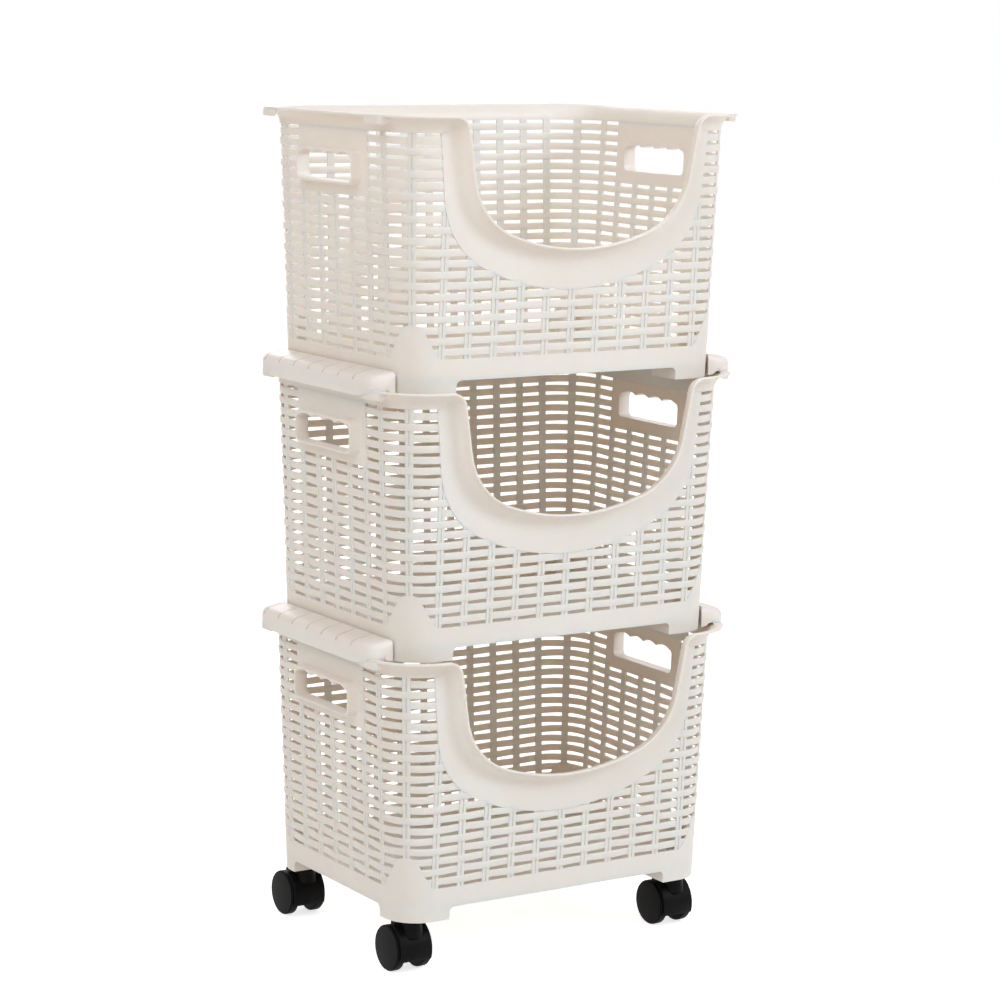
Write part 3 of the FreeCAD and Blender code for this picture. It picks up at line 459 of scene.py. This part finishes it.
def stake_sheets():
    """Upright stakes, each a bar with a groove down its middle, straight along the lean of the wall. Their
    ends reach a little into the plain areas."""
    half, ease, groove, groove_ease = STAKE_HALF, 0.5, 0.45, 0.35
    face, floor, back = -WEAVE_SINK + 0.05, -WEAVE_SINK - 0.95, -WEAVE_SINK - 2.1
    into_band, into_bell, into_rim, into_panel = 3, 1.5, 0.8, 1.5
    right = np.array([(groove, floor), (groove, face - groove_ease), (groove + groove_ease, face),
                      (half - ease, face), (half, face - ease), (half, back)])
    outline = np.concatenate([right[::-1] * [-1, 1], right])
    sheets = []
    edge_heights = np.interp(STAKES, BAND_EDGE[:, 0], BAND_EDGE[:, 1]) + into_band
    for number, run in enumerate(STAKES):
        low = float(bell_height(run)) - into_bell
        high = STRIP_BOTTOM + into_rim
        if run < BAND_EDGE_TOP - 1:
            high = edge_heights[number]
        if abs(run - SIDE_MIDDLE) < PANEL_HALF:
            high = PANEL_LOW + into_panel
        heights = np.linspace(low, high, 3)[:, None]
        for side in ((1,) if number in (0, LAST_STAKE) else (1, -1)):
            grid = wall(side * run + outline[None, :, 0], heights, outline[None, :, 1])
            sheets.append((capped(grid), False, True))
    return sheets


# Grips, and the bent lugs under the ends of the side rims

GRIP_HALF, GRIP_LOW, GRIP_HIGH, GRIP_FACE = 48.6, 170.9, 200.2, 177.1
GRIP_WALL, GRIP_CORNER, GRIP_ARCS, GRIP_DROP = 2.4, 7.0, 4, 2.6
GRIP_EDGE, GRIP_EASE, HOLE_EASE, PANEL_CORNER, ARC_STEPS = 1.2, 0.35, 0.5, 0.3, 8
LUG_NEAR, LUG_FAR, LUG_LOW, LUG_HIGH, LUG_WALL = 77.0, 102.0, 223.5, RIM_HEIGHT - 1.2, 1.6
LUG_BEND, LUG_EASE, LUG_INWARD, LUG_INSET, LUG_ROUND = 4.5, 4.0, 10.0, 0.6, 0.5


def frame_outline(half, low, high, radius, drop=0.0):
    """Closed outline of a rounded rectangle as (y, z) pairs, always with the same number of points. The top
    edge may hang in arcs by a drop: a row of shallow arches, each a parabola."""
    shares = np.linspace(0, 1, GRIP_ARCS * ARC_STEPS + 1)
    reach = half - radius
    phase = (shares * GRIP_ARCS) % 1
    top = np.stack([reach - 2 * reach * shares, high - drop * (2 * phase - 1) ** 2], axis=-1)
    bottom = np.stack([-reach + 2 * reach * shares, np.full(len(shares), low)], axis=-1)
    right = np.linspace((half, low + radius), (half, high - radius - drop), 7)
    left = right[::-1] * np.array([-1, 1])
    turns = np.linspace(0, 90, 6)[1:-1]
    low_right = around((reach, low + radius), radius, turns + 270)
    low_left = around((-reach, low + radius), radius, turns + 180)
    high_right = around((reach, high - radius), radius, turns) - [0, drop]
    high_left = around((-reach, high - radius), radius, turns + 90) - [0, drop]
    return np.concatenate([bottom, low_right, right, high_right, top, high_left, left, low_left])


def side_points(outline, out=None, face=None):
    """Points of a (y, z) outline at a distance out from the right side wall, or on an upright plane."""
    y, z = outline[:, 0], outline[:, 1]
    if face is None:
        face = CORNER_X + CORNER_RADIUS + LEAN * z + out
    return np.stack([np.broadcast_to(face, y.shape), y, z], axis=-1)


def grip_sheets():
    """Panel round each grip with the frame that stands out of it. Rings of one outline run from the edge of
    the panel to the frame, out along it, over its rounded edge, back through the hole and along the
    inside."""
    def grip(inward, drop=0.0):
        return frame_outline(GRIP_HALF - inward, GRIP_LOW + inward, GRIP_HIGH - inward, GRIP_CORNER - inward,
                             drop)

    panel = frame_outline(PANEL_HALF, PANEL_LOW, STRIP_BOTTOM, PANEL_CORNER)
    foot, outside, eased = grip(-GRIP_EDGE), grip(0), grip(GRIP_EASE)
    crest = grip(GRIP_EDGE, GRIP_DROP / 2)
    inset, hole = grip(GRIP_WALL - GRIP_EASE, GRIP_DROP), grip(GRIP_WALL, GRIP_DROP)
    half_way = (panel + foot) / 2
    root = eased * 0.2 + outside * 0.8 + (foot - outside) * 0.3
    rings = [
        side_points(panel, 0), side_points(half_way, 0), side_points(foot, 0),
        side_points(root, GRIP_EASE), side_points(outside, GRIP_EDGE),
        side_points(outside, face=GRIP_FACE - GRIP_EDGE), side_points(eased, face=GRIP_FACE - GRIP_EASE),
        side_points(crest, face=GRIP_FACE), side_points(inset, face=GRIP_FACE - GRIP_EASE),
        side_points(hole, face=GRIP_FACE - GRIP_EDGE), side_points(hole, face=GRIP_FACE - 5 * GRIP_EDGE),
        side_points(hole, -WALL + HOLE_EASE), side_points((inset + hole) / 2, -WALL),
        side_points(half_way, -WALL), side_points(panel, -WALL),
    ]
    return mirrored([(np.stack(rings), True, True)])


def quarter_drop(distance, radius):
    """How far a rounding of this radius falls away at a distance from the end: the radius less the height of
    a circle."""
    reach = np.clip(radius - distance, 0, radius)
    return radius - np.sqrt(radius ** 2 - reach ** 2)


def lug_sheets():
    """Bent plates under the ends of the side rims: straight along the rim's edge, a quarter turn, and
    inwards. The lower edge rises by a quarter circle at both ends."""
    edge = CORNER_X + CORNER_RADIUS + LEAN * RIM_HEIGHT + RIM_BEND + RIM_FLAT - LUG_INSET
    near_end = np.array([0, 0.3, 0.9, 1.9, 3, 4])
    radial = around((0, 0), 1, np.linspace(0, 90, 7))
    count = len(near_end)
    straight = np.stack([np.full(count, edge), LUG_NEAR + near_end], axis=-1)
    arc = np.array([edge - LUG_BEND, LUG_FAR - LUG_BEND]) + LUG_BEND * radial
    across = np.stack([edge - LUG_INWARD + near_end[::-1], np.full(count, LUG_FAR)], axis=-1)
    path = np.concatenate([straight, arc, across])
    outward = np.concatenate([np.tile([[1, 0]], (count, 1)), radial, np.tile([[0, 1]], (count, 1))])
    rise = np.concatenate([quarter_drop(near_end, LUG_EASE), np.zeros(len(arc)),
                           quarter_drop(near_end[::-1], LUG_EASE)])
    outline = rounded(-LUG_WALL, 0, LUG_LOW, LUG_HIGH, LUG_ROUND, 2)
    share = (LUG_HIGH - outline[None, :, 1]) / (LUG_HIGH - LUG_LOW)
    plan = path[:, None, :] + outward[:, None, :] * outline[None, :, :1]
    heights = (outline[None, :, 1] + rise[:, None] * share)[..., None]
    return mirrored(mirrored([(capped(np.concatenate([plan, heights], axis=-1)), False, True)]), 1)


# Side connectors, measured from the feet of the basket below

CONNECTOR_INNER, CONNECTOR_OUTER, CONNECTOR_FRONT, CONNECTOR_REAR = 162.1, 184.2, -105.0, 96.5
CONNECTOR_CROWN, CONNECTOR_SLOPE, CONNECTOR_SKIRT, SKIRT_RISE, SKIRT_RUN = 247.0, 0.2, 225.2, 4.0, 30.0
CONNECTOR_GAP, CONNECTOR_WALL, CONNECTOR_EASE = 0.2, 1.6, 0.5
CONNECTOR_END_ROUND, CONNECTOR_END_EASE, CONNECTOR_EDGE = 14.0, 4.5, 1.5
SHOULDER_RUN, SHOULDER_LOW, SHOULDER_PULL, SHOULDER_FALL = 7.5, 237.0, 4.4, 4.0
EDGE_ROUND, EDGE_FALL = 1.0, 1.1
GROOVES = np.arange(-91, 66, 26.0)
GROOVE_HALF, GROOVE_DEPTH, GROOVE_FADE = 0.6, 0.7, 1.5
GROOVE_RAMP, GROOVE_START, GROOVE_START_RUN = 0.25, 0.2, 0.8
RIM_DIP = 3.0
LEDGE_HALF, LEDGE_TOP, LEDGE_OUTSIDE, LEDGE_INSIDE = 72.2, 238.8, 165.6, 156.5
LEDGE_WALL, LEDGE_LAP, LEG_LOW = 2.2, 1.0, 208.0
CLEAR_OF_ABOVE = 2.6


def bezier(points, count):
    """Cubic curve through its first and last point, pulled by the two between."""
    t = np.linspace(0, 1, count)[:, None]
    a, b, c, d = np.asarray(points, float)
    return (1 - t) ** 3 * a + 3 * (1 - t) ** 2 * t * b + 3 * (1 - t) * t ** 2 * c + t ** 3 * d


def connector_top():
    """Upper line of the section as (x, z) pairs: a short rounding at the inner edge, a slope and a soft
    shoulder."""
    start = (CONNECTOR_OUTER - SHOULDER_RUN,
             CONNECTOR_CROWN - CONNECTOR_SLOPE * (CONNECTOR_OUTER - SHOULDER_RUN - CONNECTOR_INNER))
    shoulder = bezier([start, (start[0] + SHOULDER_PULL, start[1] - SHOULDER_PULL * CONNECTOR_SLOPE),
                       (CONNECTOR_OUTER, SHOULDER_LOW + SHOULDER_FALL), (CONNECTOR_OUTER, SHOULDER_LOW)], 11)
    edge = around((CONNECTOR_INNER + EDGE_ROUND, CONNECTOR_CROWN - EDGE_FALL), EDGE_ROUND,
                  np.linspace(180, 100, 5))
    slope = np.linspace(edge[-1], shoulder[0], 4)[1:-1]
    return np.concatenate([edge, slope, shoulder])


def connector_sheets():
    """Solid cover over the rim. Its section is carried along Y; towards each end the top falls by a quarter
    circle and the outer face draws in by a larger one, while the inner face follows the rounded corner of
    the basket above and the skirt's lower edge rises to the rim. Beyond the ledge the underside follows the
    rim's bend. Fine grooves cross the top and end as they turn down the edge."""
    near_end = np.array([0, 0.15, 0.6, 1.3, 2.4, 3.8, 5.5, 7.5, 10, 13, 16.5, 20])
    near_groove = np.array([-0.9, -0.6, -0.35, 0.35, 0.6, 0.9])
    near_ledge = np.array([LEDGE_HALF, LEDGE_HALF + 0.3])
    stations = np.concatenate([CONNECTOR_FRONT + near_end, CONNECTOR_REAR - near_end, near_ledge,
                               -near_ledge, np.arange(-78, 79, 26.0)]
                              + [groove + near_groove for groove in GROOVES])
    stations = np.unique(np.round(stations, 3))
    top = connector_top()
    fade = smooth((top[:, 1] - SHOULDER_LOW - GROOVE_FADE) / GROOVE_FADE)
    fade *= smooth((top[:, 0] - CONNECTOR_INNER - GROOVE_START) / GROOVE_START_RUN)
    slope = np.gradient(top, axis=0)
    normal = np.stack([-slope[:, 1], slope[:, 0]], axis=-1)
    normal /= np.linalg.norm(normal, axis=1)[:, None]
    seat = RIM_HEIGHT + CONNECTOR_GAP
    inside = CONNECTOR_OUTER - CONNECTOR_WALL
    rim_radius = CORNER_RADIUS + LEAN * RIM_HEIGHT + RIM_BEND + RIM_FLAT
    # The basket above has its corner radius at its feet, and the inner face stays clear of it
    radius_above = CORNER_RADIUS + CLEAR_OF_ABOVE
    sections = []
    for y in stations:
        cut = np.clip((GROOVE_HALF - np.min(np.abs(y - GROOVES))) / GROOVE_RAMP, 0, 1)
        line = top - normal * (GROOVE_DEPTH * cut * fade)[:, None]
        distance = min(y - CONNECTOR_FRONT, CONNECTOR_REAR - y)
        skirt = CONNECTOR_SKIRT + SKIRT_RISE * (1 - smooth(distance / SKIRT_RUN))
        low = [(CONNECTOR_OUTER, skirt + CONNECTOR_EASE), (CONNECTOR_OUTER - CONNECTOR_EASE, skirt),
               (inside + 0.4, skirt), (inside, skirt + 0.1), (inside, seat + 0.4)]
        past_corner = max(abs(y) - CORNER_Y, 0)
        level = inside - rim_radius + math.sqrt(rim_radius ** 2 - past_corner ** 2)
        dip = RIM_DIP if abs(y) > LEDGE_HALF else 0
        bend = [(level - 5, seat), (level - 8, seat - dip / 3), (level - 10, seat - dip * 0.8),
                (CONNECTOR_INNER, seat - dip)]
        section = np.concatenate([line, low, bend])
        lift = smooth((section[:, 1] - seat) / (SHOULDER_LOW - seat))
        outer = CONNECTOR_OUTER - quarter_drop(distance, CONNECTOR_END_ROUND)
        inner = min(CONNECTOR_INNER, CORNER_X + math.sqrt(radius_above ** 2 - past_corner ** 2))
        inner += quarter_drop(distance, CONNECTOR_EDGE)
        share = (section[:, 0] - CONNECTOR_INNER) / (CONNECTOR_OUTER - CONNECTOR_INNER)
        across = inner + (outer - inner) * share
        heights = section[:, 1] - quarter_drop(distance, CONNECTOR_END_EASE) * lift
        sections.append(np.stack([across, np.full(len(section), y), heights], axis=-1))
    return [(capped(np.stack(sections)), False, True)]


def mark_painted_groove_shade(mesh, signs):
    """Point attribute that is 1 along the bottoms of the grooves, where the shade that gathers in them is
    painted in. The signs of the three axes say how the cover is turned."""
    beside, from_edge = 0.45, 0.4
    places = np.empty(len(mesh.vertices) * 3, np.float32)
    mesh.vertices.foreach_get("co", places)
    x, y, z = (places.reshape(-1, 3) * (1000 * np.array(signs))).T
    away = np.min(np.abs(y[:, None] - GROOVES), axis=1)
    deep = (away < beside) & (z > SHOULDER_LOW + GROOVE_FADE) & (x > CONNECTOR_INNER + from_edge)
    mesh.attributes.new("groove", "FLOAT", "POINT").data.foreach_set("value", deep.astype(np.float32))
    return mesh


def block_sheet(low, high, ease=0.4):
    """Block with eased edges: its rounded plan on five levels, drawn in at the lowest and the highest."""
    levels = np.array([low[2], low[2] + ease, (low[2] + high[2]) / 2, high[2] - ease, high[2]])
    plans = []
    for level, inset in zip(levels, (ease, 0, 0, 0, ease)):
        plan = rounded(low[0] + inset, high[0] - inset, low[1] + inset, high[1] - inset, ease, 2)
        plans.append(np.concatenate([plan, np.full((len(plan), 1), level)], axis=1))
    return (capped(np.stack(plans)), False, True)


def ledge_sheets():
    """Ledge under the basket above, and the leg that carries it inside the basket below."""
    ledge = block_sheet((LEDGE_INSIDE, -LEDGE_HALF, LEDGE_TOP - LEDGE_WALL),
                        (LEDGE_OUTSIDE + LEDGE_LAP, LEDGE_HALF, LEDGE_TOP))
    leg = block_sheet((LEDGE_OUTSIDE - LEDGE_WALL, -LEDGE_HALF, LEG_LOW),
                      (LEDGE_OUTSIDE, LEDGE_HALF, LEDGE_TOP - LEDGE_LAP))
    return [ledge, leg]


# Casters, measured from the stem axis at the height of the feet

AXLE = np.array([0.0, 14.0, -28.3])
WHEEL_RADIUS, WHEEL_SIDE, DOME_RADIUS, DOME_RISE = 20.2, 18.6, 19.3, 1.2
FENDER_RADIUS, FENDER_WALL, FENDER_HALF, FENDER_LOW = 23.2, 1.8, 15.6, 8.2
FENDER_FRONT, FENDER_BACK = math.radians(-22), math.radians(105)
NARROW_START, NARROW_RUN, NARROWING = math.radians(65), math.radians(35), 0.45
FENDER_EASE, CHEEK_INSET, CHEEK_BACK = 0.85, 0.5, 8.0


def wheel_sheets(side):
    """Wheel as a surface of revolution about the axle: inner face from the bore outwards, tread with eased
    edges, a fine groove and a shallow dome, which is part of a sphere. Pairs are distance along the axle and
    radius."""
    sphere = (DOME_RADIUS ** 2 + DOME_RISE ** 2) / (2 * DOME_RISE)
    radii = np.linspace(DOME_RADIUS, 0, 10)
    dome = np.stack([WHEEL_SIDE - sphere + np.sqrt(sphere ** 2 - radii ** 2), radii], axis=-1)
    inner_face = [(9.3, 2.6), (9.3, 10), (9.6, 18.6), (9.7, 19.5)]
    tread_line = [(10.0, WHEEL_RADIUS - 0.2), (10.6, WHEEL_RADIUS), (13.1, WHEEL_RADIUS),
                  (15.9, WHEEL_RADIUS), (16.4, WHEEL_RADIUS - 0.15), (16.7, WHEEL_RADIUS - 0.5)]
    fine_groove = [(16.75, 18.9), (17.3, 18.9)]
    profile = np.concatenate([inner_face, tread_line, fine_groove, dome])
    return [(turned(profile * [side, 1], AXLE, "x", 64), False, True)]


def around_axle(turns, radius):
    """Offsets (y, z) from the axle, the angle counted from the front over the top."""
    return np.stack([-radius * np.cos(turns), radius * np.sin(turns)], axis=-1)


def fender_sheet():
    """Fender over both wheels: a rounded strip section carried round the axle from the flat front cut over
    the top, narrowing smoothly towards its back end."""
    turns = np.linspace(FENDER_FRONT, FENDER_BACK, 33)
    outline = rounded(-FENDER_HALF, FENDER_HALF, FENDER_RADIUS - FENDER_WALL, FENDER_RADIUS, FENDER_EASE, 3)
    narrow = 1 - NARROWING * smooth((turns - NARROW_START) / NARROW_RUN)
    across = outline[None, :, 0] * narrow[:, None]
    y, z = np.moveaxis(around_axle(turns[:, None], outline[None, :, 1]), -1, 0)
    heights = np.maximum(AXLE[2] + z, AXLE[2] - FENDER_LOW)
    return [(capped(np.stack([across, AXLE[1] + y, heights], axis=-1)), False, True)]


def cheek_sheet():
    """Body between the wheels: a flat-sided slab bounded by the fender's arc, the flat cut and an upright
    back. Its plan is drawn in by a share towards each side."""
    radius = FENDER_RADIUS - CHEEK_INSET
    turns = np.linspace(-math.asin(FENDER_LOW / radius), math.pi - math.acos(CHEEK_BACK / radius), 25)
    edge = around_axle(turns, radius)
    rear = np.linspace((CHEEK_BACK, edge[-1, 1] - 1), (CHEEK_BACK, -FENDER_LOW + 1), 7)
    base = np.linspace((CHEEK_BACK - 1, -FENDER_LOW), (edge[0, 0] + 1, -FENDER_LOW), 9)
    outline = np.concatenate([edge, rear, base])
    middle = np.array([-4.0, 4.0])
    plans = []
    for x, share in ((-8.6, 0.96), (-8.1, 0.99), (-7, 1), (7, 1), (8.1, 0.99), (8.6, 0.96)):
        plan = middle + (outline - middle) * share
        plans.append(np.concatenate([np.full((len(plan), 1), x), plan + AXLE[1:]], axis=1))
    return [(capped(np.stack(plans)), False, True)]


def neck_sheet():
    """Neck round the stem, from a collar under the foot down into the fender, as (height, radius) pairs."""
    bore = 4.1
    profile = [(-1.8, bore), (-1.8, 7.6), (-2.3, 8.2), (-5, 8.2), (-9, 9.0), (-16, 9.4), (-16, bore)]
    return [(turned(np.array(profile), (0, 0, 0), "z", 40), True, True)]


# Materials


def srgb(code):
    """Linear colour of an sRGB hex code: the lower part divided, the rest raised to 2.4."""
    parts = [int(code[i:i + 2], 16) / 255 for i in (1, 3, 5)]
    return tuple(c / 12.92 if c <= 0.04045 else ((c + 0.055) / 1.055) ** 2.4 for c in parts) + (1.0,)


def add_node(material, kind, settings=None, links=None):
    """A shader node with values for its sockets or properties, and links into its sockets."""
    tree = material.node_tree
    node = tree.nodes.new("ShaderNode" + kind)
    for name, value in (settings or {}).items():
        if isinstance(name, str) and hasattr(node, name):
            setattr(node, name, value)
        else:
            node.inputs[name].default_value = value
    for name, (source, output) in (links or {}).items():
        tree.links.new(source.outputs[output], node.inputs[name])
    return node


def new_material(name):
    """Material with an empty node tree."""
    material = bpy.data.materials.new(name)
    material.use_nodes = True
    material.node_tree.nodes.clear()
    return material


def moulded_plastic(name, colour, mottled, roughness, grain_mm, bump_mm, shine=0.5, glow=0.0, groove=None):
    """Injection-moulded plastic: satin, with a soft skin grain and hardly any change of shade. Pale
    polypropylene also lets a little light through, and its red goes furthest, which warms the inside of a
    basket. A groove colour, where given, is painted shade along the bottoms of grooves."""
    cloud_mm, spread = 70, 0.05
    material = new_material(name)
    where = {"Vector": (add_node(material, "TexCoord"), "Object")}
    grain = add_node(material, "TexNoise", {"Scale": 1000 / grain_mm, "Detail": 2.0}, where)
    cloud = add_node(material, "TexNoise", {"Scale": 1000 / cloud_mm, "Detail": 2.0}, where)
    shade = add_node(material, "ValToRGB", {}, {"Fac": (cloud, "Fac")})
    shade.color_ramp.elements[0].position, shade.color_ramp.elements[1].position = 0.35, 0.65
    shade.color_ramp.elements[0].color, shade.color_ramp.elements[1].color = srgb(mottled), srgb(colour)
    tone = (shade, "Color")
    # Painted shade: the groove colour is mixed in where the groove attribute is 1, along the bottoms of the
    # grooves
    if groove:
        groove_shade_mask = add_node(material, "Attribute", {"attribute_name": "groove"})
        tone = (add_node(material, "MixRGB", {"Color2": srgb(groove)},
                         {"Fac": (groove_shade_mask, "Fac"), "Color1": tone}), "Color")
    bump = add_node(material, "Bump", {"Strength": 0.35, "Distance": bump_mm / 1000},
                    {"Height": (grain, "Fac")})
    gloss = add_node(material, "MapRange", {"To Min": roughness - spread, "To Max": roughness + spread},
                     {"Value": (cloud, "Fac")})
    surface = add_node(material, "BsdfPrincipled",
                       {"IOR": 1.49, "Specular IOR Level": shine, "Subsurface Weight": glow,
                        "Subsurface Radius": (1.0, 0.45, 0.2), "Subsurface Scale": 0.005},
                       {"Base Color": tone, "Roughness": (gloss, "Result"), "Normal": (bump, "Normal")})
    add_node(material, "OutputMaterial", {}, {"Surface": (surface, "BSDF")})
    return material


def bare_steel(name):
    """Turned steel with a zinc finish: fine rings round the pin, bright and a little rough."""
    ring_mm = 1.2
    material = new_material(name)
    rings = add_node(material, "TexNoise", {"Scale": 1000 / ring_mm, "Detail": 1.0},
                     {"Vector": (add_node(material, "TexCoord"), "Object")})
    gloss = add_node(material, "MapRange", {"To Min": 0.28, "To Max": 0.42}, {"Value": (rings, "Fac")})
    surface = add_node(material, "BsdfPrincipled", {"Metallic": 1.0, "Base Color": srgb("#B9BBBD")},
                       {"Roughness": (gloss, "Result")})
    add_node(material, "OutputMaterial", {}, {"Surface": (surface, "BSDF")})
    return material


# Basket moulding: pale, satin and slightly translucent
ivory = moulded_plastic("ivory_polypropylene", "#F4EDE3", "#F2EADF", roughness=0.42, grain_mm=0.9,
                        bump_mm=0.03, glow=0.45)
# Connector moulding: the same plastic a touch lighter, with brown shade painted along the bottoms of its
# grooves
cream = moulded_plastic("cream_polypropylene", "#F8F1E8", "#F6EEE4", roughness=0.4, grain_mm=0.9,
                        bump_mm=0.03, glow=0.45, groove="#B08A62")
# Caster housing: near black, dull, with little shine
black = moulded_plastic("black_nylon", "#0B0A0A", "#0D0C0C", roughness=0.45, grain_mm=0.8, bump_mm=0.05,
                        shine=0.08)
# Wheels: the same black, a little duller
tread = moulded_plastic("black_wheel_nylon", "#0B0B0B", "#0D0C0C", roughness=0.5, grain_mm=0.8,
                        bump_mm=0.05, shine=0.08)
# Stem sleeve: plain grey, smooth and waxy
sleeve = moulded_plastic("grey_acetal", "#5A5856", "#5E5C5A", roughness=0.4, grain_mm=0.8, bump_mm=0.03)
steel = bare_steel("zinc_plated_steel")


# Baskets

weave = mesh_of("weave", weave_sheets())
stakes = mesh_of("stakes", stake_sheets())
shell = mesh_of("shell", flange_sheet() + strip_sheet() + grip_sheets() + floor_sheet())
fittings = mesh_of("fittings", foot_web_sheets() + socket_sheets() + lug_sheets())
for tier, level in FEET_LEVELS.items():
    node, body = f"{tier}_basket", BASKET_BODIES[tier]
    for part_name, mesh in (("weave", weave), ("stakes", stakes), ("shell", shell), ("fittings", fittings)):
        place(f"{tier}_{part_name}", mesh, ivory, body, node, (0, 0, level))

# Connectors: one moulding serves both sides, and the left one is turned half round

cover = connector_sheets() + ledge_sheets()
covers = {}
for side, signs in (("left", (-1, -1, 1)), ("right", (1, 1, 1))):
    sheets = [(grid * signs, rows, columns) for grid, rows, columns in cover]
    # The groove attribute marks where brown shade is painted along the bottoms of the cover's grooves
    covers[side] = mark_painted_groove_shade(mesh_of(f"{side}_cover", sheets), signs)
for tier in ("lower", "middle"):
    for side, mesh in covers.items():
        node = f"{tier}_{side}_connector"
        place(f"{node}_cover", mesh, cream, BASKET_BODIES[tier], node,
              (0, 0, FEET_LEVELS[tier]))

# Casters

housing = mesh_of("housing", fender_sheet() + cheek_sheet() + neck_sheet())
wheels = {side: mesh_of(f"{side}_wheel", wheel_sheets(sign)) for side, sign in (("left", -1), ("right", 1))}
for row, y in (("front", -CASTER_Y), ("rear", CASTER_Y)):
    for hand, x in (("left", -CASTER_X), ("right", CASTER_X)):
        corner = f"{row}_{hand}_caster"
        shift = (x, y, FEET_LEVELS["lower"])
        place(f"{corner}_fender", housing, black, corner, f"{corner}_housing", shift)
        for side, mesh in wheels.items():
            node = f"{corner}_{side}_wheel"
            place(f"{node}_disc", mesh, tread, node, node, shift)

# Pieces that keep their CAD shape. A sleeve's name also holds the word stem, so the sleeve comes first

KINDS = {"stem_sleeve": sleeve, "axle": steel, "stem": steel}
for name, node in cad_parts.items():
    for word, material in KINDS.items():
        if word in name:
            node.data.materials.clear()
            node.data.materials.append(material)
            break


# Camera, light and floor, in metres

YAW, PITCH, ROLL = math.radians(-32.471), math.radians(9.255), math.radians(0.886)
CAMERA_PLACE, CAMERA_LENS, SENSOR_WIDTH, FARTHEST = (-1.42908, -2.25457, 0.82419), 108.89, 36, 50
LIT_PLACE = (0, 0, 0.4)
FLOOR_HALF = 9.0
WHITE = srgb("#FFFFFF")

camera_data = bpy.data.cameras.new("camera")
camera_data.sensor_width = SENSOR_WIDTH
camera_data.lens = CAMERA_LENS
camera_data.clip_end = FARTHEST
camera = bpy.data.objects.new("camera", camera_data)
camera.matrix_world = (Matrix.Translation(CAMERA_PLACE) @ Matrix.Rotation(YAW, 4, "Z")
                       @ Matrix.Rotation(math.pi / 2 - PITCH, 4, "X") @ Matrix.Rotation(ROLL, 4, "Z"))
bpy.context.scene.collection.objects.link(camera)
bpy.context.scene.camera = camera


def soft_light(name, place_m, size, watts, colour):
    """Round area lamp that faces the middle of the cart."""
    data = bpy.data.lights.new(name, "AREA")
    data.shape = "DISK"
    data.size = size
    data.energy = watts
    data.color = srgb(colour)[:3]
    lamp = bpy.data.objects.new(name, data)
    lamp.location = place_m
    lamp.rotation_euler = (Vector(LIT_PLACE) - Vector(place_m)).to_track_quat("-Z", "Y").to_euler()
    bpy.context.scene.collection.objects.link(lamp)


soft_light("key", (1.8, -2.6, 2.2), 1.6, 54, "#DCEAFF")
soft_light("fill", (-2.3, -1.5, 2.5), 2.4, 46, "#E0E9FA")
soft_light("top", (0.3, 0.3, 3.2), 2.0, 7, "#E6F0FF")
soft_light("back", (1.2, 2.8, 1.8), 1.8, 22, "#EEF0FA")


def seen_mask(owner):
    """Node output that is 1 where a thing is seen straight, in a reflection or through something clear."""
    path = add_node(owner, "LightPath")
    mask = (path, "Is Camera Ray")
    for ray in ("Is Glossy Ray", "Is Transmission Ray"):
        mask = (add_node(owner, "Math", {"operation": "MAXIMUM"}, {0: mask, 1: (path, ray)}), "Value")
    return mask


# The surroundings light the cart faintly warm and are white where they are seen
world = bpy.data.worlds.new("studio")
bpy.context.scene.world = world
world.use_nodes = True
world.node_tree.nodes.clear()
studio = add_node(world, "Background", {"Color": srgb("#FFEFE0"), "Strength": 0.43})
backdrop = add_node(world, "Background", {"Color": WHITE, "Strength": 1.0})
mixed = add_node(world, "MixShader", {},
                 {0: seen_mask(world), 1: (studio, "Background"), 2: (backdrop, "Background")})
add_node(world, "OutputWorld", {}, {"Surface": (mixed, "Shader")})

# Pale paper, raised to white where it is seen, so that only the shade under the cart stays
ground = new_material("pale_paper_floor")
paper = add_node(ground, "BsdfDiffuse", {"Color": srgb("#F2F1EF")})
glow = add_node(ground, "Emission", {"Color": WHITE, "Strength": 0.72})
both = add_node(ground, "AddShader", {}, {0: (paper, "BSDF"), 1: (glow, "Emission")})
lit = add_node(ground, "MixShader", {}, {0: seen_mask(ground), 1: (paper, "BSDF"), 2: (both, "Shader")})
add_node(ground, "OutputMaterial", {}, {"Surface": (lit, "Shader")})
ends = (-1000 * FLOOR_HALF, 1000 * FLOOR_HALF)
floor_mesh = mesh_of("floor", [(np.array([[(x, y, 0.0) for x in ends] for y in ends]), False, False)])
floor_mesh.materials.append(ground)
floor = bpy.data.objects.new("floor", floor_mesh)
bpy.context.scene.collection.objects.link(floor)

bpy.context.scene.view_settings.view_transform = "Standard"
